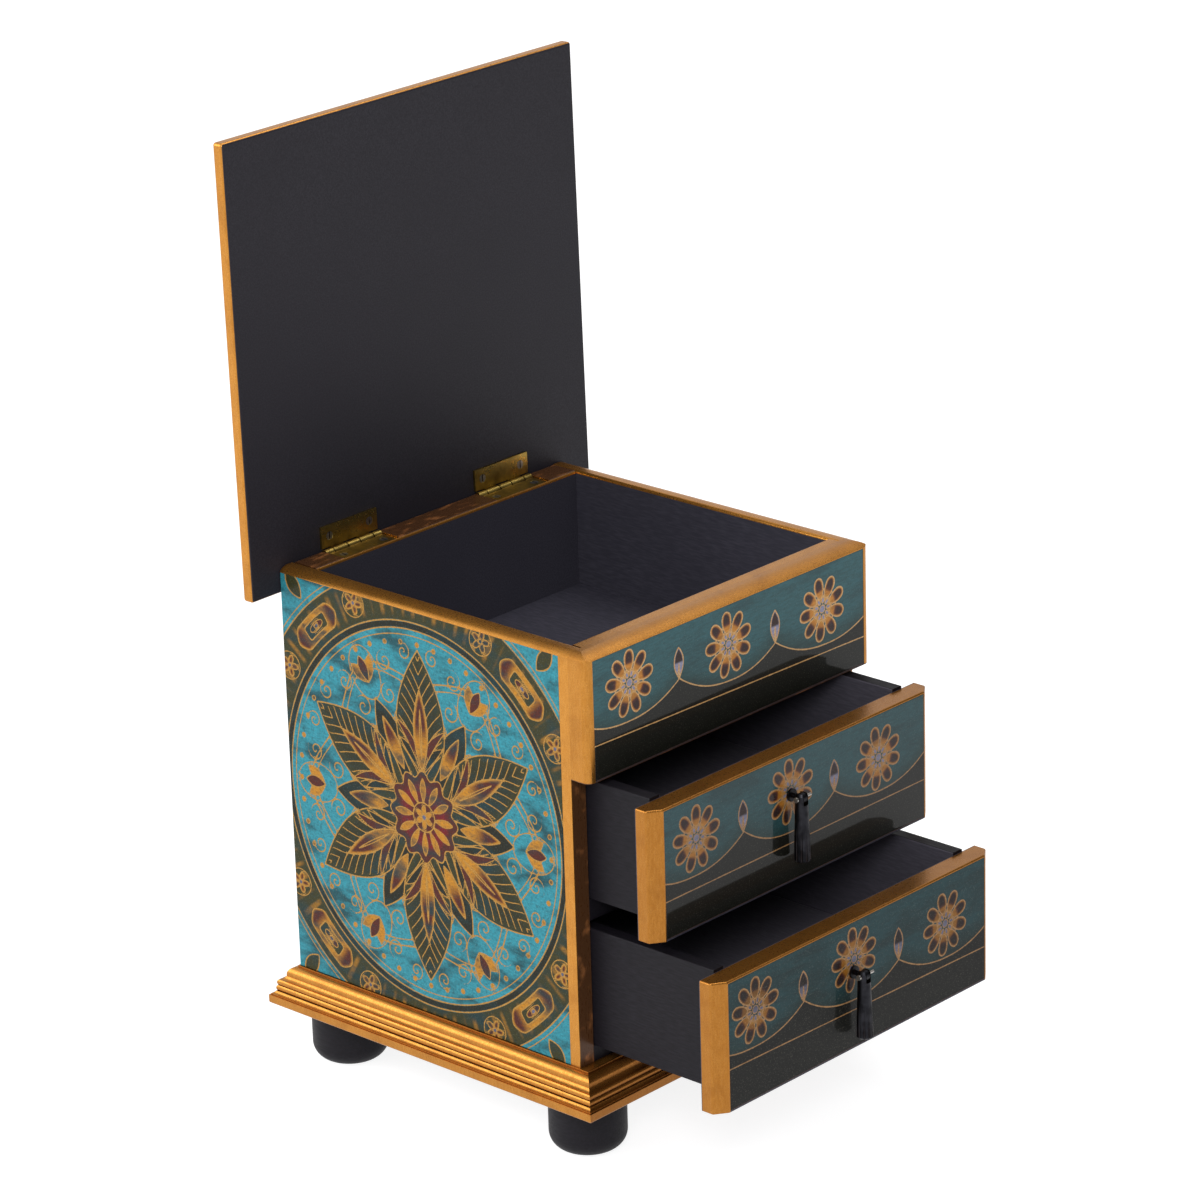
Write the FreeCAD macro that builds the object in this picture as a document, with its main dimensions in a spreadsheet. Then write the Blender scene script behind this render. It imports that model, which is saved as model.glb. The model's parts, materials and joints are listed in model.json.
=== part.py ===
import FreeCAD, Part
import math
import os
import re

import Sketcher

# Jewelry chest: a lidded tray over two drawers, on a moulded plinth with turned feet.
# x runs to the right, y to the back and z up. The pieces are drawn with the front of the
# side walls at y = 0 and the table at z = 0, drawers pushed in, and are then placed.

doc = FreeCAD.newDocument("JewelryChest")
sheet = doc.addObject("Spreadsheet::Sheet", "Sizes")

# Driving sizes, in millimetres and degrees
SIZES = [
    ("case_width", 160, "case across its side walls"),
    ("carcase_depth", 148.4, "side walls from front to back"),
    ("wall", 7.6, "side wall with its glass"),
    ("back_wall", 12.7, "back wall"),
    ("glass", 2, "painted glass"),
    ("glass_ease", 0.3, "ground edge of the glass"),
    ("front_lip", 4.7, "gilded lip of a side wall in front of its glass"),
    ("rim_drop", 2.2, "outer edge of the rim, down to the glass"),
    ("rim_lip", 0.3, "upright edge of the rim over the glass"),
    ("wall_crown", 4.4, "crowned part of the rim of a side wall"),
    ("band_crown", 6.5, "crowned part of the rim of the band"),
    ("rim_inner_round", 1.2, "inner rounding of the rim"),
    ("foot_height", 23.4, "foot"),
    ("foot_radius", 15, "foot"),
    ("foot_round", 7, "rounding of a foot towards the table"),
    ("foot_shoulder", 1.4, "bevel of a foot under the plinth"),
    ("foot_inset", 13, "foot centre from the edges of the plinth board"),
    ("tenon_radius", 5, "tenon of a foot"),
    ("tenon_length", 9, "tenon of a foot"),
    ("tenon_fit", 0.05, "clearance round a tenon"),
    ("plinth_height", 15.6, "plinth board and its moulding"),
    ("plinth_step", 3.9, "plinth board in front of the side walls"),
    ("cap_width", 0.6, "top edge of the moulding"),
    ("cap_height", 0.8, "top edge of the moulding"),
    ("quirk", 0.4, "step from the top edge to the big round"),
    ("ovolo_width", 2.9, "big round of the moulding"),
    ("ovolo_height", 2.6, "big round of the moulding"),
    ("ovolo_radius", 2.9, "big round of the moulding"),
    ("neck", 1, "upright under the big round"),
    ("upper_cove_width", 2.3, "upper hollow of the moulding"),
    ("upper_cove_height", 1.4, "upper hollow of the moulding"),
    ("upper_cove_radius", 2.2, "upper hollow of the moulding"),
    ("bead_height", 2.3, "each of the two beads"),
    ("bead_radius", 1.6, "each of the two beads"),
    ("bead_step", 0.3, "lower bead in front of the upper bead"),
    ("bead_foot", 0.5, "ledge under the lower bead"),
    ("lower_cove_width", 1.5, "lower hollow of the moulding"),
    ("lower_cove_height", 1.1, "lower hollow of the moulding"),
    ("lower_cove_radius", 1.5, "lower hollow of the moulding"),
    ("ledge", 0.6, "ledge on the lowest band of the moulding"),
    ("ledge_rise", 0.5, "upright over that ledge"),
    ("fascia_round", 0.9, "lower edge of the moulding"),
    ("bottom_board", 6.3, "bottom board of the case"),
    ("divider", 8.8, "board between the drawers"),
    ("tray_floor", 2.5, "floor of the tray"),
    ("tray_depth", 47.9, "tray from its floor to the rim"),
    ("tray_front", 5, "thin front wall of the tray"),
    ("front_board", 9, "band and drawer fronts with their glass"),
    ("band_rise", 0.9, "lower edge of the band above the tray floor's underside"),
    ("band_end_round", 3, "upright front corners of the band"),
    ("band_glass_inset", 3.5, "band's ends to its glass"),
    ("band_glass_low", 0.7, "band's lower edge to its glass"),
    ("slide_gap", 0.3, "drawer box above what it slides on"),
    ("side_gap", 0.4, "drawer box to each side wall"),
    ("lower_head_room", 3, "above the lower drawer box"),
    ("upper_head_room", 1, "above the upper drawer box"),
    ("box_height", 47.6, "sides of a drawer box"),
    ("box_length", 135, "drawer box behind its front"),
    ("box_side", 5.7, "sides and back of a drawer box"),
    ("box_edge_round", 0.6, "upper edges of a drawer box"),
    ("panel", 3, "bottom panel of a drawer"),
    ("panel_rise", 2.5, "bottom panel above the lower edge of the sides"),
    ("groove_depth", 2.5, "groove for the bottom panel"),
    ("groove_fit", 0.1, "bottom panel to the end of its groove"),
    ("front_height", 52.3, "drawer front"),
    ("front_drop", 5.9, "drawer front below its box"),
    ("front_edge_round", 0.7, "upper and lower front edge of a drawer front"),
    ("bevel_width", 5.2, "bevel at the ends of a drawer front"),
    ("bevel_depth", 3.8, "bevel at the ends of a drawer front"),
    ("bevel_round", 1.1, "outer edge of that bevel"),
    ("front_glass_inset", 5.6, "drawer front's ends to its glass"),
    ("front_glass_low", 1.1, "drawer front's lower edge to its glass"),
    ("front_glass_high", 0.8, "drawer front's upper edge to its glass"),
    ("upper_opening", 31, "upper drawer pulled out, as shown"),
    ("lower_opening", 60.2, "lower drawer pulled out, as shown"),
    ("upper_pull_height", 35.4, "upper pull's pin above the drawer front's lower edge"),
    ("lower_pull_height", 31.5, "lower pull's pin above the drawer front's lower edge"),
    ("pull_reach", 5.2, "pull's pin in front of the glass"),
    ("pull_aside", 4, "pull to the left of the drawer's middle"),
    ("collar_radius", 2.5, "collar of the pull's post on the glass"),
    ("collar_length", 0.9, "collar of the pull's post"),
    ("post_radius", 1, "pull's post"),
    ("shank_radius", 1.2, "shank of the post in the drawer front"),
    ("shank_length", 6.5, "shank of the post from the face of the glass"),
    ("shank_fit", 0.04, "clearance round that shank"),
    ("eye_radius", 2.1, "eye of the post"),
    ("eye_width", 2, "eye of the post"),
    ("cross_pin_radius", 0.6, "pull's pin"),
    ("cross_pin_fit", 0.05, "clearance round the pull's pin"),
    ("cross_pin_long_end", 5.2, "pull's pin to the right of the post"),
    ("cross_pin_short_end", 2.7, "pull's pin to the left of the post"),
    ("cross_pin_head", 1, "head of the pull's pin"),
    ("cross_pin_head_length", 0.7, "head of the pull's pin"),
    ("fork_gap", 0.3, "fork of the drop to each side of the eye"),
    ("drop_top_radius", 2.4, "drop at its head"),
    ("drop_foot_radius", 3.2, "drop at its foot"),
    ("drop_top", 2.2, "drop above its pin"),
    ("drop_length", 25, "drop below its pin"),
    ("drop_crown_round", 1.2, "head of the drop"),
    ("drop_foot_round", 0.5, "foot of the drop"),
    ("flute_radius", 0.45, "flutes of the drop"),
    ("flute_length", 18, "flutes of the drop"),
    ("flute_count", 10, "flutes of the drop"),
    ("lid_side_reach", 14.7, "lid beyond the side walls"),
    ("lid_front_reach", 13.4, "shut lid beyond the band"),
    ("lid_thickness", 5, "lid with its glass"),
    ("lid_round", 1.2, "edges of the lid"),
    ("lid_glass_inset", 3.5, "lid's edges to its glass"),
    ("lid_overhang", 9.6, "lid behind the hinge axis"),
    ("lid_lean", 1.1, "open lid, degrees past upright"),
    ("stop_gap", 0.3, "open lid's lower edge to the back of the case"),
    ("hinge_spread", 85, "between the middles of the hinges"),
    ("hinge_length", 30, "hinge"),
    ("leaf_width", 10.6, "leaf from the hinge axis to its edge"),
    ("leaf_thickness", 1, "leaf of a hinge"),
    ("leaf_sink", 0.7, "case leaf below the rim"),
    ("leaf_fit", 0.2, "clearance round a leaf in its recess"),
    ("barrel_radius", 1.75, "knuckles of a hinge"),
    ("barrel_ease", 0.15, "knuckles to the underside of the lid"),
    ("barrel_gap", 0.25, "knuckles to the back wall and to the other leaf"),
    ("middle_knuckle", 6, "middle knuckle of the case leaf"),
    ("lid_knuckle", 6.9, "each knuckle of the lid leaf"),
    ("knuckle_gap", 0.5, "between knuckles"),
    ("hinge_pin_radius", 0.7, "pin of a hinge"),
    ("hinge_pin_fit", 0.05, "clearance round the pin of a hinge"),
    ("screw_pitch", 21.6, "between the two screws of a leaf"),
    ("screw_reach", 6.4, "screws from the hinge axis"),
    ("screw_radius", 0.9, "hinge screw"),
    ("screw_head_radius", 1.7, "hinge screw"),
    ("screw_fit", 0.05, "clearance round a hinge screw"),
    ("case_screw_length", 7, "hinge screw in the back wall"),
    ("lid_screw_length", 3.4, "hinge screw in the lid"),
    ("slot_width", 0.5, "slot of a hinge screw"),
    ("slot_depth", 0.4, "slot of a hinge screw"),
]
ALIASES = {name for name, number, meaning in SIZES}
for row, (name, number, meaning) in enumerate(SIZES, start=1):
    sheet.set(f"A{row}", meaning)
    sheet.set(f"B{row}", str(number))
    sheet.setAlias(f"B{row}", name)
doc.recompute()

# Levels and places that several pieces share, in words of the sheet
HALF = "(case_width / 2)"
INNER = "(case_width / 2 - wall)"
BACK_INNER = "(carcase_depth - back_wall)"
PLINTH_TOP = "(foot_height + plinth_height)"
BOTTOM_TOP = f"({PLINTH_TOP} + bottom_board)"
LOWER_BOX = f"({BOTTOM_TOP} + slide_gap)"
DIVIDER_LOW = f"({LOWER_BOX} + box_height + lower_head_room)"
DIVIDER_TOP = f"({DIVIDER_LOW} + divider)"
UPPER_BOX = f"({DIVIDER_TOP} + slide_gap)"
TRAY_LOW = f"({UPPER_BOX} + box_height + upper_head_room)"
TRAY_TOP = f"({TRAY_LOW} + tray_floor)"
RIM = f"({TRAY_TOP} + tray_depth)"
BAND_LOW = f"({TRAY_LOW} + band_rise)"
GLASS_HIGH = f"({RIM} - rim_drop)"
CROWN_LOW = f"({GLASS_HIGH} + rim_lip)"
LEAF_RECESS = "(leaf_sink + leaf_thickness)"
HINGE_Z = f"({RIM} - leaf_sink - leaf_thickness / 2)"
UNDERSIDE = "(barrel_radius + barrel_ease)"
LID_WIDTH = "(case_width + 2 * lid_side_reach)"
KNUCKLE_CLEAR = "(barrel_radius + barrel_gap)"
HINGE_Y = (f"(carcase_depth + stop_gap + lid_overhang * sin(lid_lean)"
           f" - {UNDERSIDE} * cos(lid_lean))")
LID_FRONT = f"({HINGE_Y} + front_board + lid_front_reach)"
BOX_HALF = f"({INNER} - side_gap)"
BOX_INNER = f"({BOX_HALF} - box_side)"
SCREW_HEAD = "(screw_head_radius - screw_radius)"

# The frame's origin lies under the middle of the whole chest as it stands
FRONT_REACH = "(front_board + lower_opening + pull_reach + drop_foot_radius)"
MOULDING_REACH = ("(cap_width + quirk + ovolo_width + upper_cove_width + bead_step + bead_foot"
                  " + lower_cove_width + ledge)")
LID_REACH = (f"({HINGE_Y} + {LID_FRONT} * sin(lid_lean)"
             f" + ({UNDERSIDE} + lid_thickness) * cos(lid_lean))")
BACK_REACH = f"max(carcase_depth + {MOULDING_REACH}; {LID_REACH})"
FRAME_Y = f"(({FRONT_REACH} - {BACK_REACH}) / 2)"

SAME = 1e-4
X_AXIS = FreeCAD.Vector(1, 0, 0)
Z_AXIS = FreeCAD.Vector(0, 0, 1)
subparts = []


def bound(words):
    """Expression for the document: each alias of the sheet gets the sheet's name."""
    return re.sub(r"[a-z_]+", lambda word: "Sizes." + word[0] if word[0] in ALIASES else word[0],
                  str(words))


def size(words):
    """Value of an expression in words of the sheet."""
    return float(sheet.evalExpression(str(words)))


def subpart(name):
    """A new sub-part, which becomes one node."""
    body = doc.addObject("PartDesign::Body", name)
    body.Label = name
    subparts.append(body)
    return body


def place(body, x="0", y="0", z="0", axis=Z_AXIS, turn="0"):
    """Set a sub-part in the chest: turned about an axis through its own origin, then moved."""
    body.Placement = FreeCAD.Placement(FreeCAD.Vector(), FreeCAD.Rotation(axis, size(turn)))
    body.setExpression("Placement.Rotation.Angle", bound(turn))
    body.setExpression("Placement.Base.x", bound(x))
    body.setExpression("Placement.Base.y", bound(f"{FRAME_Y} + {y}"))
    body.setExpression("Placement.Base.z", bound(z))


def arc_between(start, end, radius, turn):
    """Arc of less than half a circle; turn is 1 where it bends left on its way, -1 right."""
    chord = end - start
    rise = math.sqrt(max(radius ** 2 - chord.Length ** 2 / 4, 0))
    aside = FreeCAD.Vector(-chord.y, chord.x, 0).normalize()
    centre = (start + end) * 0.5 + aside * (turn * rise)
    first, last = (start, end) if turn > 0 else (end, start)
    angles = [math.atan2(point.y - centre.y, point.x - centre.x) for point in (first, last)]
    return Part.ArcOfCircle(Part.Circle(centre, Z_AXIS, radius), angles[0], angles[1])


def pin_point(sketch, curve, end, point):
    """Tie one end of a curve to its place, measured from the sketch's origin."""
    for kind, words in zip(("DistanceX", "DistanceY"), point):
        number = sketch.addConstraint(Sketcher.Constraint(kind, -1, 1, curve, end, size(words)))
        sketch.setExpression(f"Constraints[{number}]", bound(words))


def new_sketch(body, role, level, shift="0"):
    """Sketch on one of the body's own planes, lifted along its normal and shifted across."""
    sketch = body.newObject("Sketcher::SketchObject", "Outline")
    plane = next(item for item in body.Origin.OriginFeatures if item.Role == role)
    sketch.AttachmentSupport = [(plane, "")]
    sketch.MapMode = "FlatFace"
    sketch.setExpression("AttachmentOffset.Base.z", bound(level))
    sketch.setExpression("AttachmentOffset.Base.x", bound(shift))
    return sketch


def outline(body, role, *loops, level="0", shift="0"):
    """Closed outlines. A point is (across, up), or (across, up, radius, turn) after an arc."""
    sketch = new_sketch(body, role, level, shift)
    for loop in loops:
        places = [FreeCAD.Vector(size(point[0]), size(point[1]), 0) for point in loop]
        curves = []
        for index, point in enumerate(loop):
            start, end = places[index - 1], places[index]
            if len(point) == 2:
                curve = sketch.addGeometry(Part.LineSegment(start, end), False)
                curves.append((curve, 1, 2))
                continue
            radius, turn = point[2:]
            curve = sketch.addGeometry(arc_between(start, end, size(radius), turn), False)
            number = sketch.addConstraint(Sketcher.Constraint("Radius", curve, size(radius)))
            sketch.setExpression(f"Constraints[{number}]", bound(radius))
            curves.append((curve, 1, 2) if turn > 0 else (curve, 2, 1))
        for index, (curve, first, last) in enumerate(curves):
            before, _, before_last = curves[index - 1]
            sketch.addConstraint(Sketcher.Constraint("Coincident", before, before_last, curve, first))
            pin_point(sketch, curve, last, loop[index][:2])
    return sketch


def rectangle(low_across, high_across, low_up, high_up):
    """Four corners for an outline."""
    return [(low_across, low_up), (high_across, low_up), (high_across, high_up), (low_across, high_up)]


def turned_round(middle, radius, start, count):
    """Corners along a quarter circle from a starting angle, for a round turned in short cones."""
    angles = [start + 90 * step / count for step in range(1, count + 1)]
    return [(f"{middle[0]} + {radius} * cos({angle})", f"{middle[1]} + {radius} * sin({angle})")
            for angle in angles]


def discs(body, role, centres, radius, level="0"):
    """Sketch of equal circles."""
    sketch = new_sketch(body, role, level)
    for centre in centres:
        middle = FreeCAD.Vector(size(centre[0]), size(centre[1]), 0)
        curve = sketch.addGeometry(Part.Circle(middle, Z_AXIS, size(radius)), False)
        number = sketch.addConstraint(Sketcher.Constraint("Radius", curve, size(radius)))
        sketch.setExpression(f"Constraints[{number}]", bound(radius))
        pin_point(sketch, curve, 3, centre)
    return sketch


def pad(body, sketch, length, middle=False, backward=False):
    """Solid along the sketch's normal, to both sides with middle, or against it."""
    feature = body.newObject("PartDesign::Pad", "Pad")
    feature.Profile = sketch
    feature.SideType = "Symmetric" if middle else "One side"
    feature.Reversed = backward
    feature.setExpression("Length", bound(length))
    return feature


def pocket(body, sketch, length=None, middle=False, backward=False):
    """Cut against the sketch's normal; without a length it goes right through."""
    feature = body.newObject("PartDesign::Pocket", "Pocket")
    feature.Profile = sketch
    feature.SideType = "Symmetric" if middle else "One side"
    feature.Reversed = backward
    if length is None:
        feature.Type = "ThroughAll"
    else:
        feature.setExpression("Length", bound(length))
    return feature


def revolve(body, sketch):
    """Turned piece about the sketch's upright axis."""
    feature = body.newObject("PartDesign::Revolution", "Revolution")
    feature.Profile = sketch
    feature.ReferenceAxis = (sketch, ["V_Axis"])
    feature.Angle = 360
    return feature


def edges_on(body, circles=False, **planes):
    """Edges of the body that lie in all the planes given, such as x="0", z=RIM."""
    doc.recompute()
    found = []
    for number, edge in enumerate(body.Tip.Shape.Edges, start=1):
        box = edge.BoundBox
        sides = {"x": (box.XMin, box.XMax), "y": (box.YMin, box.YMax), "z": (box.ZMin, box.ZMax)}
        if circles and not isinstance(edge.Curve, Part.Circle):
            continue
        if all(abs(side - size(words)) < SAME for axis, words in planes.items() for side in sides[axis]):
            found.append(f"Edge{number}")
    return found


def rounded(body, radius, edges):
    """Round some edges of the body."""
    base = body.Tip
    feature = body.newObject("PartDesign::Fillet", "Round")
    feature.Base = (base, edges)
    feature.setExpression("Radius", bound(radius))


def countersunk(body, edges):
    """Widen round holes towards a face, for the heads of their screws."""
    base = body.Tip
    feature = body.newObject("PartDesign::Chamfer", "Countersink")
    feature.Base = (base, edges)
    feature.setExpression("Size", bound(SCREW_HEAD))


def crown(width):
    """Radius of the arc that rises from the outer edge of the rim and is level at its top."""
    drop = "(rim_drop - rim_lip)"
    return f"({width} ^ 2 + {drop} ^ 2) / (2 * {drop})"


def board(name, x_low, x_high, y_low, y_high, z_low, z_high, slid="0"):
    """A plain board between two places along each axis."""
    body = subpart(name)
    plan = outline(body, "XY_Plane", rectangle(x_low, x_high, y_low, y_high), level=z_low)
    pad(body, plan, f"{z_high} - {z_low}")
    place(body, y=slid)
    return body


SIDE_PANE = rectangle("front_lip", "carcase_depth", PLINTH_TOP, GLASS_HIGH)


def side_wall(name, side):
    """Side wall with a crowned top, and outside a recess for the glass behind a front lip."""
    body = subpart(name)
    outer, inner = f"{side} * {HALF}", f"{side} * {INNER}"
    section = outline(body, "XZ_Plane", [
        (inner, PLINTH_TOP),
        (outer, PLINTH_TOP),
        (outer, CROWN_LOW),
        (f"{side} * ({HALF} - wall_crown)", RIM, crown("wall_crown"), side),
        (f"{side} * ({INNER} + rim_inner_round)", RIM),
        (inner, f"{RIM} - rim_inner_round", "rim_inner_round", side),
    ])
    pad(body, section, "carcase_depth", backward=True)
    recess = outline(body, "YZ_Plane", SIDE_PANE, level=outer)
    pocket(body, recess, "glass", backward=side < 0)
    place(body)


def side_glass(name, side):
    """Glass in the side wall's recess, its outer edges ground."""
    body = subpart(name)
    outer = f"{side} * {HALF}"
    pad(body, outline(body, "YZ_Plane", SIDE_PANE, level=outer), "glass", backward=side > 0)
    rounded(body, "glass_ease", edges_on(body, x=outer))
    place(body)


def front_pane(body, inset, low, high):
    """Outline of the glass in the face of the band or of a drawer front."""
    corners = rectangle(f"{inset} - {HALF}", f"{HALF} - {inset}", low, high)
    return outline(body, "XZ_Plane", corners, level="front_board")


def front_glass(name, edges, slid="0"):
    """Glass in the face of the band or of a drawer front."""
    body = subpart(name)
    pad(body, front_pane(body, *edges), "glass", backward=True)
    rounded(body, "glass_ease", edges_on(body, y="-front_board"))
    place(body, y=slid)
    return body


# Side walls and their glass
for side_name, side_sign in (("left", -1), ("right", 1)):
    side_wall(f"{side_name}_wall", side_sign)
    side_glass(f"{side_name}_side_glass", side_sign)

# Back wall, with a rounded top, and recesses for the case leaves and barrels of the hinges
back_wall = board("back_wall", f"-{INNER}", INNER, BACK_INNER, "carcase_depth", PLINTH_TOP, RIM)
rounded(back_wall, "rim_inner_round", edges_on(back_wall, y=BACK_INNER, z=RIM))
rounded(back_wall, "rim_inner_round", edges_on(back_wall, y="carcase_depth", z=RIM))
for hinge_side in (-1, 1):
    hinge_x = f"{hinge_side} * hinge_spread / 2"
    half_recess = "(hinge_length / 2 + leaf_fit)"
    leaf_plan = rectangle(f"{hinge_x} - {half_recess}", f"{hinge_x} + {half_recess}",
                          f"{HINGE_Y} - leaf_width - leaf_fit", "carcase_depth")
    pocket(back_wall, outline(back_wall, "XY_Plane", leaf_plan, level=RIM), LEAF_RECESS)
    barrel_recess = discs(back_wall, "YZ_Plane", [(HINGE_Y, HINGE_Z)], KNUCKLE_CLEAR, level=hinge_x)
    pocket(back_wall, barrel_recess, f"2 * {half_recess}", middle=True)
    spots = [(f"{hinge_x} + {end} * screw_pitch / 2", f"{HINGE_Y} - screw_reach") for end in (-1, 1)]
    pilots = discs(back_wall, "XY_Plane", spots, "screw_radius + screw_fit",
                   level=f"{RIM} - {LEAF_RECESS}")
    pocket(back_wall, pilots, "case_screw_length")

# Boards across the case, and the thin front wall of the tray
board("bottom_board", f"-{INNER}", INNER, "0", BACK_INNER, PLINTH_TOP, BOTTOM_TOP)
board("drawer_divider", f"-{INNER}", INNER, "0", BACK_INNER, DIVIDER_LOW, DIVIDER_TOP)
board("tray_floor", f"-{INNER}", INNER, "0", BACK_INNER, TRAY_LOW, TRAY_TOP)
tray_front = board("tray_front_wall", f"-{INNER}", INNER, "0", "tray_front", TRAY_TOP, RIM)
rounded(tray_front, "rim_inner_round", edges_on(tray_front, y="tray_front", z=RIM))

# Front band: its upright corners are rounded, and its upper edge is crowned as the rim is
band = subpart("front_band")
band_plan = outline(band, "XY_Plane", [
    (HALF, "0"),
    (f"-{HALF}", "0"),
    (f"-{HALF}", "band_end_round - front_board"),
    (f"band_end_round - {HALF}", "-front_board", "band_end_round", 1),
    (f"{HALF} - band_end_round", "-front_board"),
    (HALF, "band_end_round - front_board", "band_end_round", 1),
], level=BAND_LOW)
pad(band, band_plan, f"{RIM} - {BAND_LOW}")
over_rim = f"{RIM} + rim_drop"
before_band = "-(front_board + rim_drop)"
pocket(band, outline(band, "YZ_Plane", [
    ("-front_board", CROWN_LOW),
    ("band_crown - front_board", RIM, crown("band_crown"), -1),
    ("band_crown - front_board", over_rim),
    (before_band, over_rim),
    (before_band, CROWN_LOW),
]), middle=True)
for side_sign in (-1, 1):
    crown_in, beside = f"{side_sign} * ({HALF} - wall_crown)", f"{side_sign} * ({HALF} + rim_drop)"
    pocket(band, outline(band, "XZ_Plane", [
        (f"{side_sign} * {HALF}", CROWN_LOW),
        (crown_in, RIM, crown("wall_crown"), side_sign),
        (crown_in, over_rim),
        (beside, over_rim),
        (beside, CROWN_LOW),
    ]), middle=True)
band_glass_edges = ("band_glass_inset", f"{BAND_LOW} + band_glass_low", GLASS_HIGH)
pocket(band, front_pane(band, *band_glass_edges), "glass")
place(band)
front_glass("band_glass", band_glass_edges)

# Plinth board, with a hole for the tenon of each foot
plinth = board("plinth_board", f"-{HALF}", HALF, "-plinth_step", "carcase_depth", "foot_height",
               PLINTH_TOP)
FEET = {
    "front_left_foot": (f"foot_inset - {HALF}", "foot_inset - plinth_step"),
    "front_right_foot": (f"{HALF} - foot_inset", "foot_inset - plinth_step"),
    "back_left_foot": (f"foot_inset - {HALF}", "carcase_depth - foot_inset"),
    "back_right_foot": (f"{HALF} - foot_inset", "carcase_depth - foot_inset"),
}
tenon_holes = discs(plinth, "XY_Plane", FEET.values(), "tenon_radius + tenon_fit", level="foot_height")
pocket(plinth, tenon_holes, "tenon_length + tenon_fit", backward=True)

# Turned feet: a barrel rounded towards the table, with a tenon on top
for foot_name, (foot_x, foot_y) in FEET.items():
    foot = subpart(foot_name)
    revolve(foot, outline(foot, "XZ_Plane", [
        ("0", "0"),
        ("foot_radius - foot_round", "0"),
        *turned_round(("foot_radius - foot_round", "foot_round"), "foot_round", -90, 3),
        ("foot_radius", "foot_height - foot_shoulder"),
        ("foot_radius - foot_shoulder", "foot_height"),
        ("tenon_radius", "foot_height"),
        ("tenon_radius", "foot_height + tenon_length"),
        ("0", "foot_height + tenon_length"),
    ]))
    place(foot, foot_x, foot_y)

# Plinth moulding. Its section from the top edge down: a flat cap, a big round (ovolo), an
# upright neck, a hollow, two beads, a smaller hollow and a ledge on the lowest band
OVOLO_IN = "(cap_width + quirk)"
OVOLO_OUT = f"({OVOLO_IN} + ovolo_width)"
COVE_OUT = f"({OVOLO_OUT} + upper_cove_width)"
BEAD_LEDGE = f"({COVE_OUT} + bead_step + bead_foot)"
FASCIA_IN = f"({BEAD_LEDGE} + lower_cove_width)"
OVOLO_TOP = "(plinth_height - cap_height)"
OVOLO_LOW = f"({OVOLO_TOP} - ovolo_height)"
COVE_TOP = f"({OVOLO_LOW} - neck)"
BEADS_TOP = f"({COVE_TOP} - upper_cove_height)"
BEADS_MIDDLE = f"({BEADS_TOP} - bead_height)"
BEADS_LOW = f"({BEADS_MIDDLE} - bead_height)"
LEDGE_TOP = f"({BEADS_LOW} - lower_cove_height)"
FASCIA_TOP = f"({LEDGE_TOP} - ledge_rise)"


def moulding(name, run, x, y, turn):
    """Length of moulding along x, facing -y, cut at 45 degrees at both ends."""
    body = subpart(name)
    section = outline(body, "YZ_Plane", [
        ("0", "0"),
        ("0", "plinth_height"),
        ("-cap_width", "plinth_height"),
        ("-cap_width", OVOLO_TOP),
        (f"-{OVOLO_IN}", OVOLO_TOP),
        (f"-{OVOLO_OUT}", OVOLO_LOW, "ovolo_radius", 1),
        (f"-{OVOLO_OUT}", COVE_TOP),
        (f"-{COVE_OUT}", BEADS_TOP, "upper_cove_radius", -1),
        (f"-{COVE_OUT}", BEADS_MIDDLE, "bead_radius", 1),
        (f"-({COVE_OUT} + bead_step)", BEADS_MIDDLE),
        (f"-({COVE_OUT} + bead_step)", BEADS_LOW, "bead_radius", 1),
        (f"-{BEAD_LEDGE}", BEADS_LOW),
        (f"-{FASCIA_IN}", LEDGE_TOP, "lower_cove_radius", -1),
        (f"-{FASCIA_IN}", FASCIA_TOP),
        (f"-{MOULDING_REACH}", FASCIA_TOP),
        (f"-{MOULDING_REACH}", "fascia_round"),
        (f"fascia_round - {MOULDING_REACH}", "0", "fascia_round", 1),
    ])
    pad(body, section, f"{run} + 2 * {MOULDING_REACH}", middle=True)
    mitre = [[(f"{end} * ({run}) / 2", "0"),
              (f"{end} * (({run}) / 2 + 2 * {MOULDING_REACH})", f"-2 * {MOULDING_REACH}"),
              (f"{end} * (({run}) / 2 + 2 * {MOULDING_REACH})", "0")] for end in (-1, 1)]
    pocket(body, outline(body, "XY_Plane", *mitre), middle=True)
    place(body, x, y, "foot_height", turn=turn)


PLINTH_DEPTH = "(carcase_depth + plinth_step)"
PLINTH_MIDDLE = "((carcase_depth - plinth_step) / 2)"
moulding("front_moulding", "case_width", "0", "-plinth_step", "0")
moulding("right_moulding", PLINTH_DEPTH, HALF, PLINTH_MIDDLE, "90")
moulding("back_moulding", "case_width", "0", "carcase_depth", "180")
moulding("left_moulding", PLINTH_DEPTH, f"-{HALF}", PLINTH_MIDDLE, "270")

# Hinges. A hinge's pieces have their origin on its axis, in the middle of its length, and are
# drawn shut, with the leaves lying towards the front. The pieces of the lid are drawn the same
# way and turn with it
LID_KNUCKLES_IN = "(middle_knuckle / 2 + knuckle_gap)"
LID_KNUCKLES_OUT = f"({LID_KNUCKLES_IN} + lid_knuckle)"
LEAF_LOW = f"({UNDERSIDE} - leaf_thickness)"
OPEN_TURN = "-(90 + lid_lean)"
HINGES = {"left": "-hinge_spread / 2", "right": "hinge_spread / 2"}


def on_case(body, x):
    """Place a piece of a hinge that stays with the case."""
    place(body, x, HINGE_Y, HINGE_Z)


def on_lid(body, x="0"):
    """Place a piece that turns with the lid."""
    place(body, x, HINGE_Y, HINGE_Z, X_AXIS, OPEN_TURN)


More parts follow.
